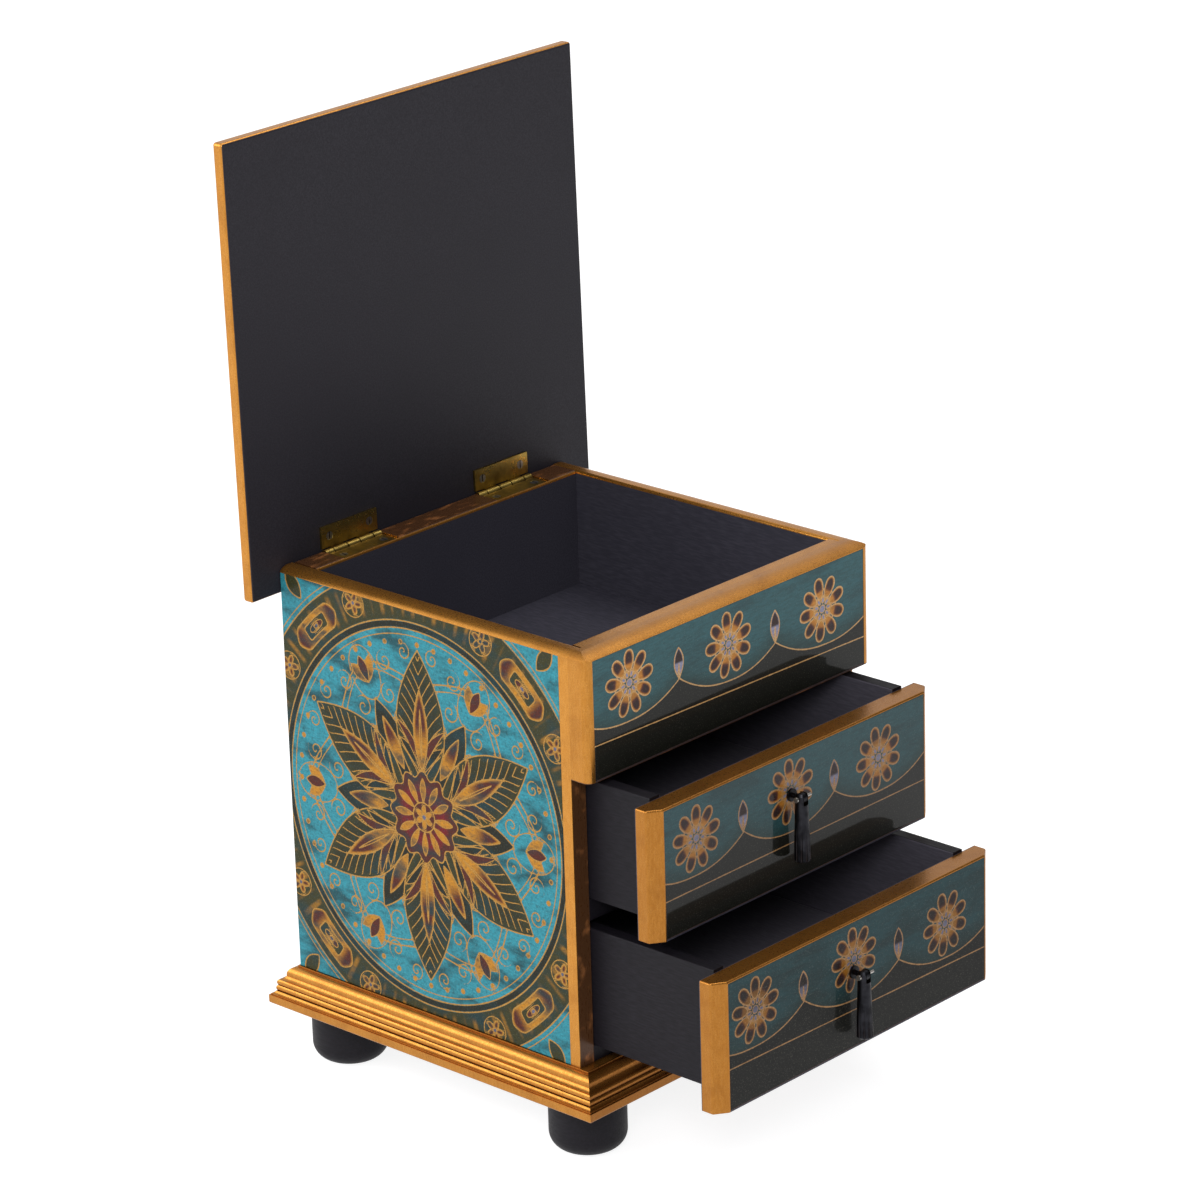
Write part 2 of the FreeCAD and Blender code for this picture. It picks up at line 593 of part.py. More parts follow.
def leaf(name, section, gaps, screw_face):
    """Leaf of a hinge: a plate with rolled knuckles, a pin hole and two countersunk holes."""
    body = subpart(name)
    pad(body, outline(body, "YZ_Plane", section), "hinge_length", middle=True)
    cuts = [rectangle(low, high, f"-{KNUCKLE_CLEAR}", KNUCKLE_CLEAR) for low, high in gaps]
    pocket(body, outline(body, "XY_Plane", *cuts), middle=True)
    pocket(body, discs(body, "YZ_Plane", [("0", "0")], "hinge_pin_radius + hinge_pin_fit"), middle=True)
    spots = [("-screw_pitch / 2", "-screw_reach"), ("screw_pitch / 2", "-screw_reach")]
    pocket(body, discs(body, "XY_Plane", spots, "screw_radius + screw_fit"), middle=True)
    countersunk(body, edges_on(body, circles=True, z=screw_face))
    return body


def screws(name, face, way, length):
    """The two screws of a leaf, heads flush with its face; way is 1 where they point up."""
    body = subpart(name)
    shift = "-screw_pitch / 2"
    thread = revolve(body, outline(body, "XZ_Plane", [
        ("0", face),
        ("screw_head_radius", face),
        ("screw_radius", f"{face} + {way} * {SCREW_HEAD}"),
        ("screw_radius", f"{face} + {way} * {length}"),
        ("0", f"{face} + {way} * {length}"),
    ], level="screw_reach", shift=shift))
    cut = rectangle("-slot_width / 2", "slot_width / 2", face, f"{face} + {way} * slot_depth")
    slot = pocket(body, outline(body, "XZ_Plane", cut, level="screw_reach", shift=shift), middle=True)
    pair = body.newObject("PartDesign::LinearPattern", "Pair")
    pair.Originals = [thread, slot]
    pair.Direction = (thread.Profile[0], ["H_Axis"])
    pair.setExpression("Length", bound("screw_pitch"))
    pair.Occurrences = 2
    body.Tip = pair
    return body


for hinge_name, hinge_x in HINGES.items():
    # Case leaf: its plate runs into the middle of the barrel
    plate_low, plate_high = "-leaf_thickness / 2", "leaf_thickness / 2"
    meet = "-sqrt(barrel_radius ^ 2 - leaf_thickness ^ 2 / 4)"
    case_leaf = leaf(f"{hinge_name}_hinge_case_leaf", [
        ("-leaf_width", plate_high),
        ("-leaf_width", plate_low),
        (meet, plate_low),
        ("barrel_radius", "0", "barrel_radius", 1),
        (meet, plate_high, "barrel_radius", 1),
    ], gaps=[
        (f"-({LID_KNUCKLES_OUT} + knuckle_gap)", "-middle_knuckle / 2"),
        ("middle_knuckle / 2", f"{LID_KNUCKLES_OUT} + knuckle_gap"),
    ], screw_face=plate_high)
    on_case(case_leaf, hinge_x)

    # Lid leaf: its plate lies over the barrel, flat under the lid
    lid_leaf = leaf(f"{hinge_name}_hinge_lid_leaf", [
        ("-leaf_width", UNDERSIDE),
        ("-leaf_width", LEAF_LOW),
        (f"-sqrt(barrel_radius ^ 2 - {LEAF_LOW} ^ 2)", LEAF_LOW),
        ("0", "-barrel_radius", "barrel_radius", 1),
        ("barrel_radius", "0", "barrel_radius", 1),
        ("0", "barrel_radius", "barrel_radius", 1),
        ("0", UNDERSIDE),
    ], gaps=[
        ("-hinge_length", f"-{LID_KNUCKLES_OUT}"),
        (f"-{LID_KNUCKLES_IN}", LID_KNUCKLES_IN),
        (LID_KNUCKLES_OUT, "hinge_length"),
    ], screw_face=LEAF_LOW)
    on_lid(lid_leaf, hinge_x)

    pin = subpart(f"{hinge_name}_hinge_pin")
    pad(pin, discs(pin, "YZ_Plane", [("0", "0")], "hinge_pin_radius"), "hinge_length", middle=True)
    on_case(pin, hinge_x)

    on_case(screws(f"{hinge_name}_case_screws", plate_high, -1, "case_screw_length"), hinge_x)
    on_lid(screws(f"{hinge_name}_lid_screws", LEAF_LOW, 1, "lid_screw_length"), hinge_x)

# Lid board, rounded all round, with a recess for its glass on top and holes for its screws
LID_TOP = f"({UNDERSIDE} + lid_thickness)"
LID_PLAN = rectangle(f"-{LID_WIDTH} / 2", f"{LID_WIDTH} / 2", f"-{LID_FRONT}", "lid_overhang")
LID_PANE = rectangle(f"lid_glass_inset - {LID_WIDTH} / 2", f"{LID_WIDTH} / 2 - lid_glass_inset",
                     f"lid_glass_inset - {LID_FRONT}", "lid_overhang - lid_glass_inset")
lid_board = subpart("lid_board")
pad(lid_board, outline(lid_board, "XY_Plane", LID_PLAN, level=UNDERSIDE), "lid_thickness")
doc.recompute()
rounded(lid_board, "lid_round", [f"Edge{number + 1}" for number in range(len(lid_board.Shape.Edges))])
pocket(lid_board, outline(lid_board, "XY_Plane", LID_PANE, level=LID_TOP), "glass")
lid_pilots = [(f"{side} * hinge_spread / 2 + {end} * screw_pitch / 2", "-screw_reach")
              for side in (-1, 1) for end in (-1, 1)]
pocket(lid_board, discs(lid_board, "XY_Plane", lid_pilots, "screw_radius + screw_fit", level=UNDERSIDE),
       "lid_screw_length - leaf_thickness", backward=True)
on_lid(lid_board)

lid_glass = subpart("lid_glass")
pad(lid_glass, outline(lid_glass, "XY_Plane", LID_PANE, level=f"{LID_TOP} - glass"), "glass")
rounded(lid_glass, "glass_ease", edges_on(lid_glass, z=LID_TOP))
on_lid(lid_glass)


def drawer_side(name, side, low, slid):
    """Side of a drawer box, with rounded upper edges and a groove for the bottom panel."""
    inner, outer = f"{side} * {BOX_INNER}", f"{side} * {BOX_HALF}"
    top = f"{low} + box_height"
    body = board(name, inner, outer, "0", "box_length", low, top, slid)
    rounded(body, "box_edge_round", edges_on(body, x=inner, z=top) + edges_on(body, x=outer, z=top))
    groove = rectangle("0", "box_length", f"{low} + panel_rise", f"{low} + panel_rise + panel")
    pocket(body, outline(body, "YZ_Plane", groove, level=inner), "groove_depth", backward=side > 0)


def drawer_front(name, low, high, pane, pull_z, box_low, slid):
    """Drawer front: bevelled ends, rounded edges, a recess for the glass, a groove and a hole."""
    body = subpart(name)
    plan = outline(body, "XY_Plane", [
        (f"-{HALF}", "0"),
        (f"-{HALF}", "bevel_depth - front_board"),
        (f"bevel_width - {HALF}", "-front_board"),
        (f"{HALF} - bevel_width", "-front_board"),
        (HALF, "bevel_depth - front_board"),
        (HALF, "0"),
    ], level=low)
    pad(body, plan, "front_height")
    bevel_y = "bevel_depth - front_board"
    bevel_edges = edges_on(body, x=HALF, y=bevel_y) + edges_on(body, x=f"-{HALF}", y=bevel_y)
    rounded(body, "bevel_round", bevel_edges)
    for level in (low, high):
        behind = edges_on(body, y="0", z=level)
        rounded(body, "front_edge_round", [edge for edge in edges_on(body, z=level) if edge not in behind])
    pocket(body, front_pane(body, *pane), "glass")
    groove = rectangle(f"-({BOX_INNER} + groove_depth)", f"{BOX_INNER} + groove_depth",
                       f"{box_low} + panel_rise", f"{box_low} + panel_rise + panel")
    pocket(body, outline(body, "XZ_Plane", groove), "groove_depth", backward=True)
    hole = discs(body, "XZ_Plane", [("-pull_aside", pull_z)], "shank_radius + shank_fit",
                 level="front_board")
    pocket(body, hole, "shank_length + shank_fit")
    place(body, y=slid)


def pull_post(name):
    """Post of a pull: a shank, a collar on the glass, and a flat eye for the cross pin."""
    body = subpart(name)
    revolve(body, outline(body, "XY_Plane", [
        ("0", "0"),
        ("post_radius", "0"),
        ("post_radius", "pull_reach - collar_length"),
        ("collar_radius", "pull_reach - collar_length"),
        ("collar_radius", "pull_reach"),
        ("shank_radius", "pull_reach"),
        ("shank_radius", "pull_reach + shank_length"),
        ("0", "pull_reach + shank_length"),
    ]))
    pad(body, discs(body, "YZ_Plane", [("0", "0")], "eye_radius"), "eye_width", middle=True)
    pocket(body, discs(body, "YZ_Plane", [("0", "0")], "cross_pin_radius + cross_pin_fit"), middle=True)
    return body


def pull_pin(name):
    """Cross pin of a pull: headed at its left end, and standing out to the right."""
    body = subpart(name)
    rod = discs(body, "YZ_Plane", [("0", "0")], "cross_pin_radius", level="-cross_pin_short_end")
    pad(body, rod, "cross_pin_short_end + cross_pin_long_end")
    head = discs(body, "YZ_Plane", [("0", "0")], "cross_pin_head", level="-cross_pin_short_end")
    pad(body, head, "cross_pin_head_length", backward=True)
    return body


def pull_drop(name):
    """Hanging drop of a pull: a fluted taper with a flat foot, forked at its head."""
    body = subpart(name)
    crown = ("drop_top_radius - drop_crown_round", "drop_top - drop_crown_round")
    taper = outline(body, "XZ_Plane", [
        ("0", "-drop_length"),
        ("drop_foot_radius - drop_foot_round", "-drop_length"),
        ("drop_foot_radius", "drop_foot_round - drop_length"),
        (f"{crown[0]} + drop_crown_round", crown[1]),
        *turned_round(crown, "drop_crown_round", 0, 2),
        ("0", "drop_top"),
    ])
    revolve(body, taper)
    fork = rectangle("-(eye_width / 2 + fork_gap)", "eye_width / 2 + fork_gap",
                     "-(eye_radius + fork_gap)", "drop_top + fork_gap")
    pocket(body, outline(body, "XZ_Plane", fork), middle=True)
    pocket(body, discs(body, "YZ_Plane", [("0", "0")], "cross_pin_radius + cross_pin_fit"), middle=True)
    flute = pocket(body, discs(body, "XY_Plane", [("drop_foot_radius", "0")], "flute_radius",
                               level="-drop_length"), "flute_length", backward=True)
    flutes = body.newObject("PartDesign::PolarPattern", "Flutes")
    flutes.Originals = [flute]
    flutes.Axis = (taper, ["V_Axis"])
    flutes.Angle = 360
    flutes.setExpression("Occurrences", bound("flute_count"))
    body.Tip = flutes
    return body


def drawer(name, box_low, opening, pull_height):
    """A drawer with its painted glass and its pull; opening is how far it is pulled out."""
    slid = f"-{opening}"
    low = f"({box_low} - front_drop)"
    high = f"({low} + front_height)"
    pull_z = f"({low} + {pull_height})"
    pane = ("front_glass_inset", f"{low} + front_glass_low", f"{high} - front_glass_high")
    drawer_front(f"{name}_drawer_front", low, high, pane, pull_z, box_low, slid)
    glass = front_glass(f"{name}_drawer_glass", pane, slid)
    hole = discs(glass, "XZ_Plane", [("-pull_aside", pull_z)], "shank_radius + shank_fit")
    pocket(glass, hole, middle=True)
    for side_name, side in (("left", -1), ("right", 1)):
        drawer_side(f"{name}_drawer_{side_name}_side", side, box_low, slid)
    back_low = "(box_length - box_side)"
    top = f"{box_low} + box_height"
    panel_low = f"({box_low} + panel_rise)"
    back = board(f"{name}_drawer_back", f"-{BOX_INNER}", BOX_INNER, back_low, "box_length", box_low, top,
                 slid)
    upper_edges = edges_on(back, y=back_low, z=top) + edges_on(back, y="box_length", z=top)
    rounded(back, "box_edge_round", upper_edges)
    groove = rectangle(f"-{BOX_INNER}", BOX_INNER, panel_low, f"{panel_low} + panel")
    pocket(back, outline(back, "XZ_Plane", groove, level=f"-{back_low}"), "groove_depth")
    tongue = "(groove_depth - groove_fit)"
    board(f"{name}_drawer_bottom", f"-({BOX_INNER} + {tongue})", f"{BOX_INNER} + {tongue}", f"-{tongue}",
          f"{back_low} + {tongue}", panel_low, f"{panel_low} + panel", slid)
    for make, piece in ((pull_post, "post"), (pull_pin, "pin"), (pull_drop, "drop")):
        place(make(f"{name}_pull_{piece}"), x="-pull_aside",
              y=f"-({opening} + front_board + pull_reach)", z=pull_z)


drawer("upper", UPPER_BOX, "upper_opening", "upper_pull_height")
drawer("lower", LOWER_BOX, "lower_opening", "lower_pull_height")

# Every object built, every cut took something away, and every sub-part is one sound shape
doc.recompute()
for item in doc.Objects:
    if {"Invalid", "Error"} & set(item.State):
        raise RuntimeError(f"{item.Name} of {item.getParent()} did not build: {item.State}")
    if item.TypeId == "PartDesign::Pocket" and item.BaseFeature.Shape.Volume - item.Shape.Volume < SAME:
        raise RuntimeError(f"{item.Name} of {item.getParent()} cuts nothing")
for body in subparts:
    if body.Shape.isNull() or not body.Shape.isValid():
        raise RuntimeError(f"{body.Label} has no valid shape")

os.makedirs("parts", exist_ok=True)
for body in subparts:
    body.Shape.exportStep(f"parts/{body.Label}.step")
whole = FreeCAD.BoundBox()
for body in subparts:
    whole.add(body.Shape.BoundBox)
print(f"{len(subparts)} nodes, {sum(len(body.Shape.Solids) for body in subparts)} solids,"
      f" {whole.XLength:.1f} x {whole.YLength:.1f} x {whole.ZLength:.1f} mm")
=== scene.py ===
# %% [markdown]
# # A painted jewelry chest
# The chest is a small black case with a hinged lid and two drawers. Its sides, its lid and its
# fronts carry panes of glass that are painted from behind, and all that frames them is gilded.
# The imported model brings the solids, and this lesson gives them their paint, gold and metal.

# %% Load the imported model
import json
import math

import bpy
import numpy as np
from mathutils import Matrix, Vector

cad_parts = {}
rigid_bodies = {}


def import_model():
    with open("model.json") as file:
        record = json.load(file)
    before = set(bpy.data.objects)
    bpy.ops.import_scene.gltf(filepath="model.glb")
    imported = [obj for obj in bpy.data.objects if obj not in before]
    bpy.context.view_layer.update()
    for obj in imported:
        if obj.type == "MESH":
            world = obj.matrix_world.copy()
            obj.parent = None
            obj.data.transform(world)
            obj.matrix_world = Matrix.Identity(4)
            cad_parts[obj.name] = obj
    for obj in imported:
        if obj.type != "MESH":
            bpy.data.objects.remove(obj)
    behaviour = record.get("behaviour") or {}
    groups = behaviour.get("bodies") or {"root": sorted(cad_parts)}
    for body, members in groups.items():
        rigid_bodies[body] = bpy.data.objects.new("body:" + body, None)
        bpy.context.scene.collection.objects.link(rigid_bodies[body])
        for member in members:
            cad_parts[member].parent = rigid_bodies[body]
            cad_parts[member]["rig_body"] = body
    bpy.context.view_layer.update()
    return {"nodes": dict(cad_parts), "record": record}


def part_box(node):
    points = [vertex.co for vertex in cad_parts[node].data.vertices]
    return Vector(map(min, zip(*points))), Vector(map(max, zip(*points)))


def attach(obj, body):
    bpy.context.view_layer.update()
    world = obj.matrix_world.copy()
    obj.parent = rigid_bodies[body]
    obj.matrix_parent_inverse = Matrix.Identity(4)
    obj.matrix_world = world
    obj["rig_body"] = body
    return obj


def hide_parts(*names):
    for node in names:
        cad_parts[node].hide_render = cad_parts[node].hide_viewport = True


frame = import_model()
nodes = frame["nodes"]
MM = 0.001

# %% [markdown]
# ## Camera
# The photograph looks down at the chest's left front corner through a long lens, so the edges
# stay almost parallel. A camera can be turned by eye, but its place, its turn and its lens are
# surer when they come from matching the corners of the case, as these numbers do.

# %% Camera
CAMERA_PLACE = Vector((-1.343147, -1.231317, 0.864977))
TO_THE_RIGHT = Vector((0.673137, -0.739002, -0.027627))
DOWNWARD = Vector((-0.273447, -0.214018, -0.937776))
FORWARD = Vector((0.687105, 0.638806, -0.346141))
LENS = 154.44

camera = bpy.data.objects.new("camera", bpy.data.cameras.new("camera"))
camera.data.lens = LENS
turn = Matrix((TO_THE_RIGHT, -DOWNWARD, -FORWARD)).transposed().to_4x4()
camera.matrix_world = Matrix.Translation(CAMERA_PLACE) @ turn
bpy.context.scene.collection.objects.link(camera)
bpy.context.scene.camera = camera
print("camera looks along", tuple(round(part, 3) for part in FORWARD))

# %% [markdown]
# ## Light
# A studio lights small shiny things with large soft panes, because glass and gold mostly show
# what they mirror. Three lamps stand in for them: one beside the camera, one above the chest
# and one behind its left. The room shines too, brightest at the left and beyond the chest and
# darkest in front of it, so the left faces are bright and the painted fronts stay deep.

# %% Lamps
MIDDLE = Vector((0, 0, 0.15))


def lamp(name, place, side, power):
    """A square pane of soft light that faces the middle of the chest."""
    light = bpy.data.lights.new(name, "AREA")
    light.size = side
    light.energy = power
    shining = bpy.data.objects.new(name, light)
    shining.location = place
    shining.rotation_euler = (MIDDLE - Vector(place)).to_track_quat("-Z", "Y").to_euler()
    bpy.context.scene.collection.objects.link(shining)
    print(name, "gives", power, "watts")


lamp("light_beside_the_camera", (-1.2, -1.05, 1.1), 0.5, 14)
lamp("light_from_above", (0.45, 0, 1.4), 0.7, 6)
lamp("light_from_behind_the_left", (-0.9, 0.9, 0.7), 0.8, 6.5)

# %% Room
TO_THE_LEFT, TO_THE_FRONT, BEYOND = (-0.85, 0.4, 0.35), (0.3, -0.9, -0.3), (0.69, 0.64, 0.35)
world = bpy.data.worlds.new("studio")
bpy.context.scene.world = world
world.use_nodes = True
room = world.node_tree


def facing(way, low, high, start, end):
    """Strength from start to end, as a direction's share along a given way goes low to high."""
    dot = room.nodes.new("ShaderNodeVectorMath")
    dot.operation = "DOT_PRODUCT"
    dot.inputs[1].default_value = way
    room.links.new(room.nodes.new("ShaderNodeTexCoord").outputs["Generated"], dot.inputs[0])
    fade = room.nodes.new("ShaderNodeMapRange")
    fade.interpolation_type = "SMOOTHSTEP"
    levels = {"From Min": low, "From Max": high, "To Min": start, "To Max": end}
    for socket, value in levels.items():
        fade.inputs[socket].default_value = value
    room.links.new(dot.outputs["Value"], fade.inputs["Value"])
    return fade.outputs[0]


strength = facing(TO_THE_LEFT, 0.1, 0.9, 0.45, 1.5)
for share in (facing(TO_THE_FRONT, -0.3, 0.8, 1.0, 0.2), facing(BEYOND, 0.5, 0.97, 1.0, 1.8)):
    product = room.nodes.new("ShaderNodeMath")
    product.operation = "MULTIPLY"
    room.links.new(strength, product.inputs[0])
    room.links.new(share, product.inputs[1])
    strength = product.outputs[0]
room.links.new(strength, room.nodes["Background"].inputs["Strength"])
room.nodes["Background"].inputs["Color"].default_value = (1, 1, 1, 1)
bpy.context.scene.view_settings.view_transform = "Standard"
print("the room has", len(room.nodes), "nodes")

# %% [markdown]
# ## Floor
# The chest stands on a white sheet that runs out of the picture. One large square is enough.
# It lies a hair below the feet, so that the two never share a plane.

# %% Floor
FLOOR_HALF, FLOOR_DROP = 5, 0.1 * MM
floor_mesh = bpy.data.meshes.new("floor")
corners = [(-1, -1), (1, -1), (1, 1), (-1, 1)]
floor_mesh.from_pydata([(x * FLOOR_HALF, y * FLOOR_HALF, -FLOOR_DROP) for x, y in corners], [],
                       [(0, 1, 2, 3)])
floor = bpy.data.objects.new("floor", floor_mesh)
bpy.context.scene.collection.objects.link(floor)
print("the floor is", 2 * FLOOR_HALF, "metres wide")

# %% [markdown]
# ## Words for materials
# Every finish is a small network of nodes on one shader. A few short functions keep them
# readable: one adds a node, and the others are the arithmetic, the mixing and the noise that
# all the finishes share. Patterns lie on the object's own coordinates, in metres, so they stay
# on a piece that moves.

# %% Short words for shader nodes
EDGE_SOFT = 0.12 * MM
HOLLOW_RAYS = 6


def tint(red, green, blue):
    """A colour given as in a picture, 0 to 255, for the shader, which counts light."""
    part = np.array([red, green, blue]) / 255
    light = np.where(part > 0.04045, ((part + 0.055) / 1.055) ** 2.4, part / 12.92)
    return tuple(light) + (1.0,)


class Finish:
    """A material with its shader, and the nodes that lead to it."""

    def __init__(self, name, roughness=0.5, metallic=0.0, specular=0.5, coat=0.0,
                 coat_roughness=0.03):
        self.material = bpy.data.materials.new(name)
        self.material.use_nodes = True
        self.tree = self.material.node_tree
        self.shader = self.tree.nodes["Principled BSDF"]
        for socket, value in (("Roughness", roughness), ("Metallic", metallic),
                              ("Specular IOR Level", specular), ("Coat Weight", coat),
                              ("Coat Roughness", coat_roughness)):
            self.shader.inputs[socket].default_value = value
        self.place = self.add("ShaderNodeTexCoord").outputs["Object"]

    def add(self, kind, inputs=(), **settings):
        """A node with its settings; inputs are numbers, colours or other nodes' outputs."""
        made = self.tree.nodes.new(kind)
        for key, value in settings.items():
            setattr(made, key, value)
        for key, value in dict(inputs).items():
            if isinstance(value, bpy.types.NodeSocket):
                self.tree.links.new(value, made.inputs[key])
            else:
                made.inputs[key].default_value = value
        return made

    def reckon(self, operation, first, second=0.0):
        """Arithmetic on one or two numbers."""
        return self.add("ShaderNodeMath", {0: first, 1: second}, operation=operation).outputs[0]

    def blend(self, amount, first, second):
        """From the first number to the second."""
        return self.add("ShaderNodeMix", {0: amount, 2: first, 3: second}).outputs[0]

    def mix(self, amount, first, second):
        """From the first colour to the second."""
        inputs = {0: amount, 6: first, 7: second}
        return self.add("ShaderNodeMix", inputs, data_type="RGBA").outputs[2]

    def between(self, value, low, high, start=0.0, end=1.0):
        """Smooth change from start to end while the value goes from low to high."""
        inputs = {"Value": value, "From Min": low, "From Max": high,
                  "To Min": start, "To Max": end}
        return self.add("ShaderNodeMapRange", inputs, interpolation_type="SMOOTHSTEP").outputs[0]

    def noise(self, grain, stretch=(1, 1, 1), detail=3.0):
        """Noise with features of a size in metres, drawn out along an axis by its stretch."""
        scale = tuple(1 / (grain * part) for part in stretch)
        spread = self.add("ShaderNodeMapping", {"Vector": self.place, "Scale": scale}).outputs[0]
        inputs = {"Vector": spread, "Scale": 1.0, "Detail": detail}
        return self.add("ShaderNodeTexNoise", inputs).outputs[0]

    def hollow(self, reach):
        """1 in the open, and less where other surfaces stand within a reach in metres."""
        inputs = {"Distance": reach}
        return self.add("ShaderNodeAmbientOcclusion", inputs, samples=HOLLOW_RAYS).outputs["AO"]

    def beyond(self, planes):
        """1 where the surface lies beyond all of some planes (direction, distance), else 0."""
        mask = 1.0
        for direction, distance in planes:
            dot = self.add("ShaderNodeVectorMath", {0: self.place, 1: direction},
                           operation="DOT_PRODUCT").outputs["Value"]
            side = self.between(dot, distance - EDGE_SOFT, distance + EDGE_SOFT)
            mask = self.reckon("MULTIPLY", side, mask)
        return mask

    def relief(self, height, depth, strength):
        """Bump from a height between 0 and 1 that stands for a depth in metres."""
        inputs = {"Height": height, "Distance": depth, "Strength": strength}
        made = self.add("ShaderNodeBump", inputs)
        self.tree.links.new(made.outputs[0], self.shader.inputs["Normal"])

    def wear(self, **sockets):
        """Lead values to the shader's sockets."""
        for name, value in sockets.items():
            self.tree.links.new(value, self.shader.inputs[name.replace("_", " ")])


# %% [markdown]
# ## Black paint, gold and metal
# The gold is a bronze paint over wood, not leaf: satin, a little uneven where the brush went.
# It is painted darker in hollows and where parts meet, painted shade and grime that ambient
# occlusion finds. The inside of the chest has plain black paint with the grain showing faintly.
# One piece of wood can have both, so the planes at which black ends and gold starts are worked
# out from the solid's own size. The blacks are one paint, painted lighter in the lid, the tray
# and the drawers: painted light where little lamp light reaches.

# %% Colours of paint
GOLD, GOLD_PALE = tint(184, 124, 50), tint(208, 154, 80)
# The deep gold is a darker tone at random and, by a share per piece, painted shade; the colour
# beside it is painted shade and grime in hollows.
GOLD_DEEP, SHADE_AND_GRIME = tint(112, 62, 20), tint(52, 29, 11)
# Brown mottled with copper is painted shade on faces that lie in shadow.
BROWN, COPPER = tint(72, 45, 25), tint(132, 84, 48)
GOLD_METAL, GOLD_SPECULAR = 0.88, 0.4
OVER_METAL, OVER_SPECULAR = 0.1, 0.22
BLACK_SPECULAR = 0.16
# One black paint, painted lighter inside the lid, the tray and the drawers: painted light where
# little lamp light reaches.
BLACKS = {
    "box": (tint(14, 12, 17), tint(22, 19, 26)),
    "lid": (tint(34, 32, 38), tint(44, 42, 49)),
    "lining": (tint(50, 49, 58), tint(66, 64, 74)),
    "drawer": (tint(64, 62, 70), tint(80, 77, 86)),
    "bottom": (tint(84, 81, 90), tint(100, 97, 106)),
}
print("blacks:", ", ".join(BLACKS))

# %% Brushes
BLACK_GRAIN, BLACK_CLOUD = 0.6 * MM, 30 * MM
GOLD_STREAK, GOLD_CLOUD, GOLD_FLECK = 0.7 * MM, 9 * MM, 0.5 * MM
BROWN_PATCH = 2.5 * MM
GOLD_HOLLOW, METAL_HOLLOW = 3.2 * MM, 1.6 * MM
GOLD_DEPTH, BLACK_DEPTH = 0.06 * MM, 0.05 * MM


def black_paint(finish, shade):
    """Colour, roughness and height of black paint that lets the grain of the wood show."""
    dark, worn = BLACKS[shade]
    grain = finish.noise(BLACK_GRAIN, (1, 8, 1), 4.0)
    cloud = finish.noise(BLACK_CLOUD)
    colour = finish.mix(finish.between(grain, 0.3, 0.85), dark, worn)
    colour = finish.mix(finish.between(cloud, 0.3, 0.8, 0, 0.4), colour, dark)
    return colour, finish.between(grain, 0.2, 0.8, 0.62, 0.48), grain


def gold_paint(finish):
    """Colour, roughness and height of bronze paint, paler in streaks and darker in hollows,
    painted shade and grime.
    """
    streak = finish.noise(GOLD_STREAK, (1, 1, 5), 4.0)
    cloud = finish.noise(GOLD_CLOUD)
    fleck = finish.noise(GOLD_FLECK)
    hollow = finish.hollow(GOLD_HOLLOW)
    colour = finish.mix(finish.between(streak, 0.3, 0.75, 0, 0.3), GOLD, GOLD_PALE)
    colour = finish.mix(finish.between(cloud, 0.42, 0.8, 0, 0.25), colour, GOLD_DEEP)
    colour = finish.mix(finish.between(fleck, 0.42, 0.7, 0, 0.22), colour, GOLD_DEEP)
    # Painted shade and grime: darker where other surfaces are near.
    colour = finish.mix(finish.between(hollow, 0.85, 0.35, 0, 0.95), colour, SHADE_AND_GRIME)
    return colour, finish.between(streak, 0.2, 0.8, 0.36, 0.24), streak


# %% Gilding, plain black and bare metal
def gilded(name, coats=(), shade_share=0.0):
    """Gold paint darkened toward its deep colour by a share, which is painted shade, and other
    paints over it, each where the surface lies beyond some planes."""
    finish = Finish(name, metallic=GOLD_METAL, specular=GOLD_SPECULAR)
    colour, rough, height = gold_paint(finish)
    # Painted shade: the gold of a piece that turns from the lamps is darkened by this share.
    colour = finish.mix(shade_share, colour, GOLD_DEEP)
    covered = 0.0
    for paint, planes in coats:
        mask = finish.beyond(planes)
        # Brown with copper mottles: painted shade on faces that lie in shadow.
        if paint == "worn":
            patch = finish.noise(BROWN_PATCH, (3, 1, 3), 5.0)
            over = finish.mix(finish.between(patch, 0.54, 0.72), BROWN, COPPER)
        else:
            over, dark_rough, dark_height = black_paint(finish, paint)
            rough = finish.blend(mask, rough, dark_rough)
            height = finish.blend(mask, height, dark_height)
        colour = finish.mix(mask, colour, over)
        covered = finish.reckon("MAXIMUM", mask, covered)
    if coats:
        specular = finish.between(covered, 0, 1, GOLD_SPECULAR, OVER_SPECULAR)
        finish.wear(Metallic=finish.between(covered, 0, 1, GOLD_METAL, OVER_METAL),
                    Specular_IOR_Level=specular)
    finish.wear(Base_Color=colour, Roughness=rough)
    finish.relief(height, GOLD_DEPTH, 0.5)
    return finish.material


def painted_black(name, shade, inside=()):
    """Black paint all over, painted lighter where the surface lies beyond a group of planes:
    painted light on inner faces.
    """
    finish = Finish(name, specular=BLACK_SPECULAR)
    colour, rough, height = black_paint(finish, shade)
    if inside:
        colour = finish.mix(finish.beyond(inside), colour, black_paint(finish, "drawer")[0])
    finish.wear(Base_Color=colour, Roughness=rough)
    finish.relief(height, BLACK_DEPTH, 0.5)
    return finish.material


def metal(name, bright, dull, rough, grain, share):
    """Bare metal: dull where a noise of that grain is under a share, and dark in hollows, painted
    shade and grime.
    """
    finish = Finish(name, metallic=1.0)
    shine = finish.between(finish.noise(grain, detail=5.0), share - 0.2, share + 0.2)
    colour = finish.mix(shine, dull, bright)
    # Painted shade and grime: darker where other surfaces are near.
    grime_and_shade = finish.between(finish.hollow(METAL_HOLLOW), 0.8, 0.3, 0, 0.85)
    finish.wear(Base_Color=finish.mix(grime_and_shade, colour, SHADE_AND_GRIME),
                Roughness=finish.between(shine, 0, 1, rough + 0.12, rough))
    finish.relief(finish.noise(0.25 * MM), 0.02 * MM, 0.15)
    return finish.material


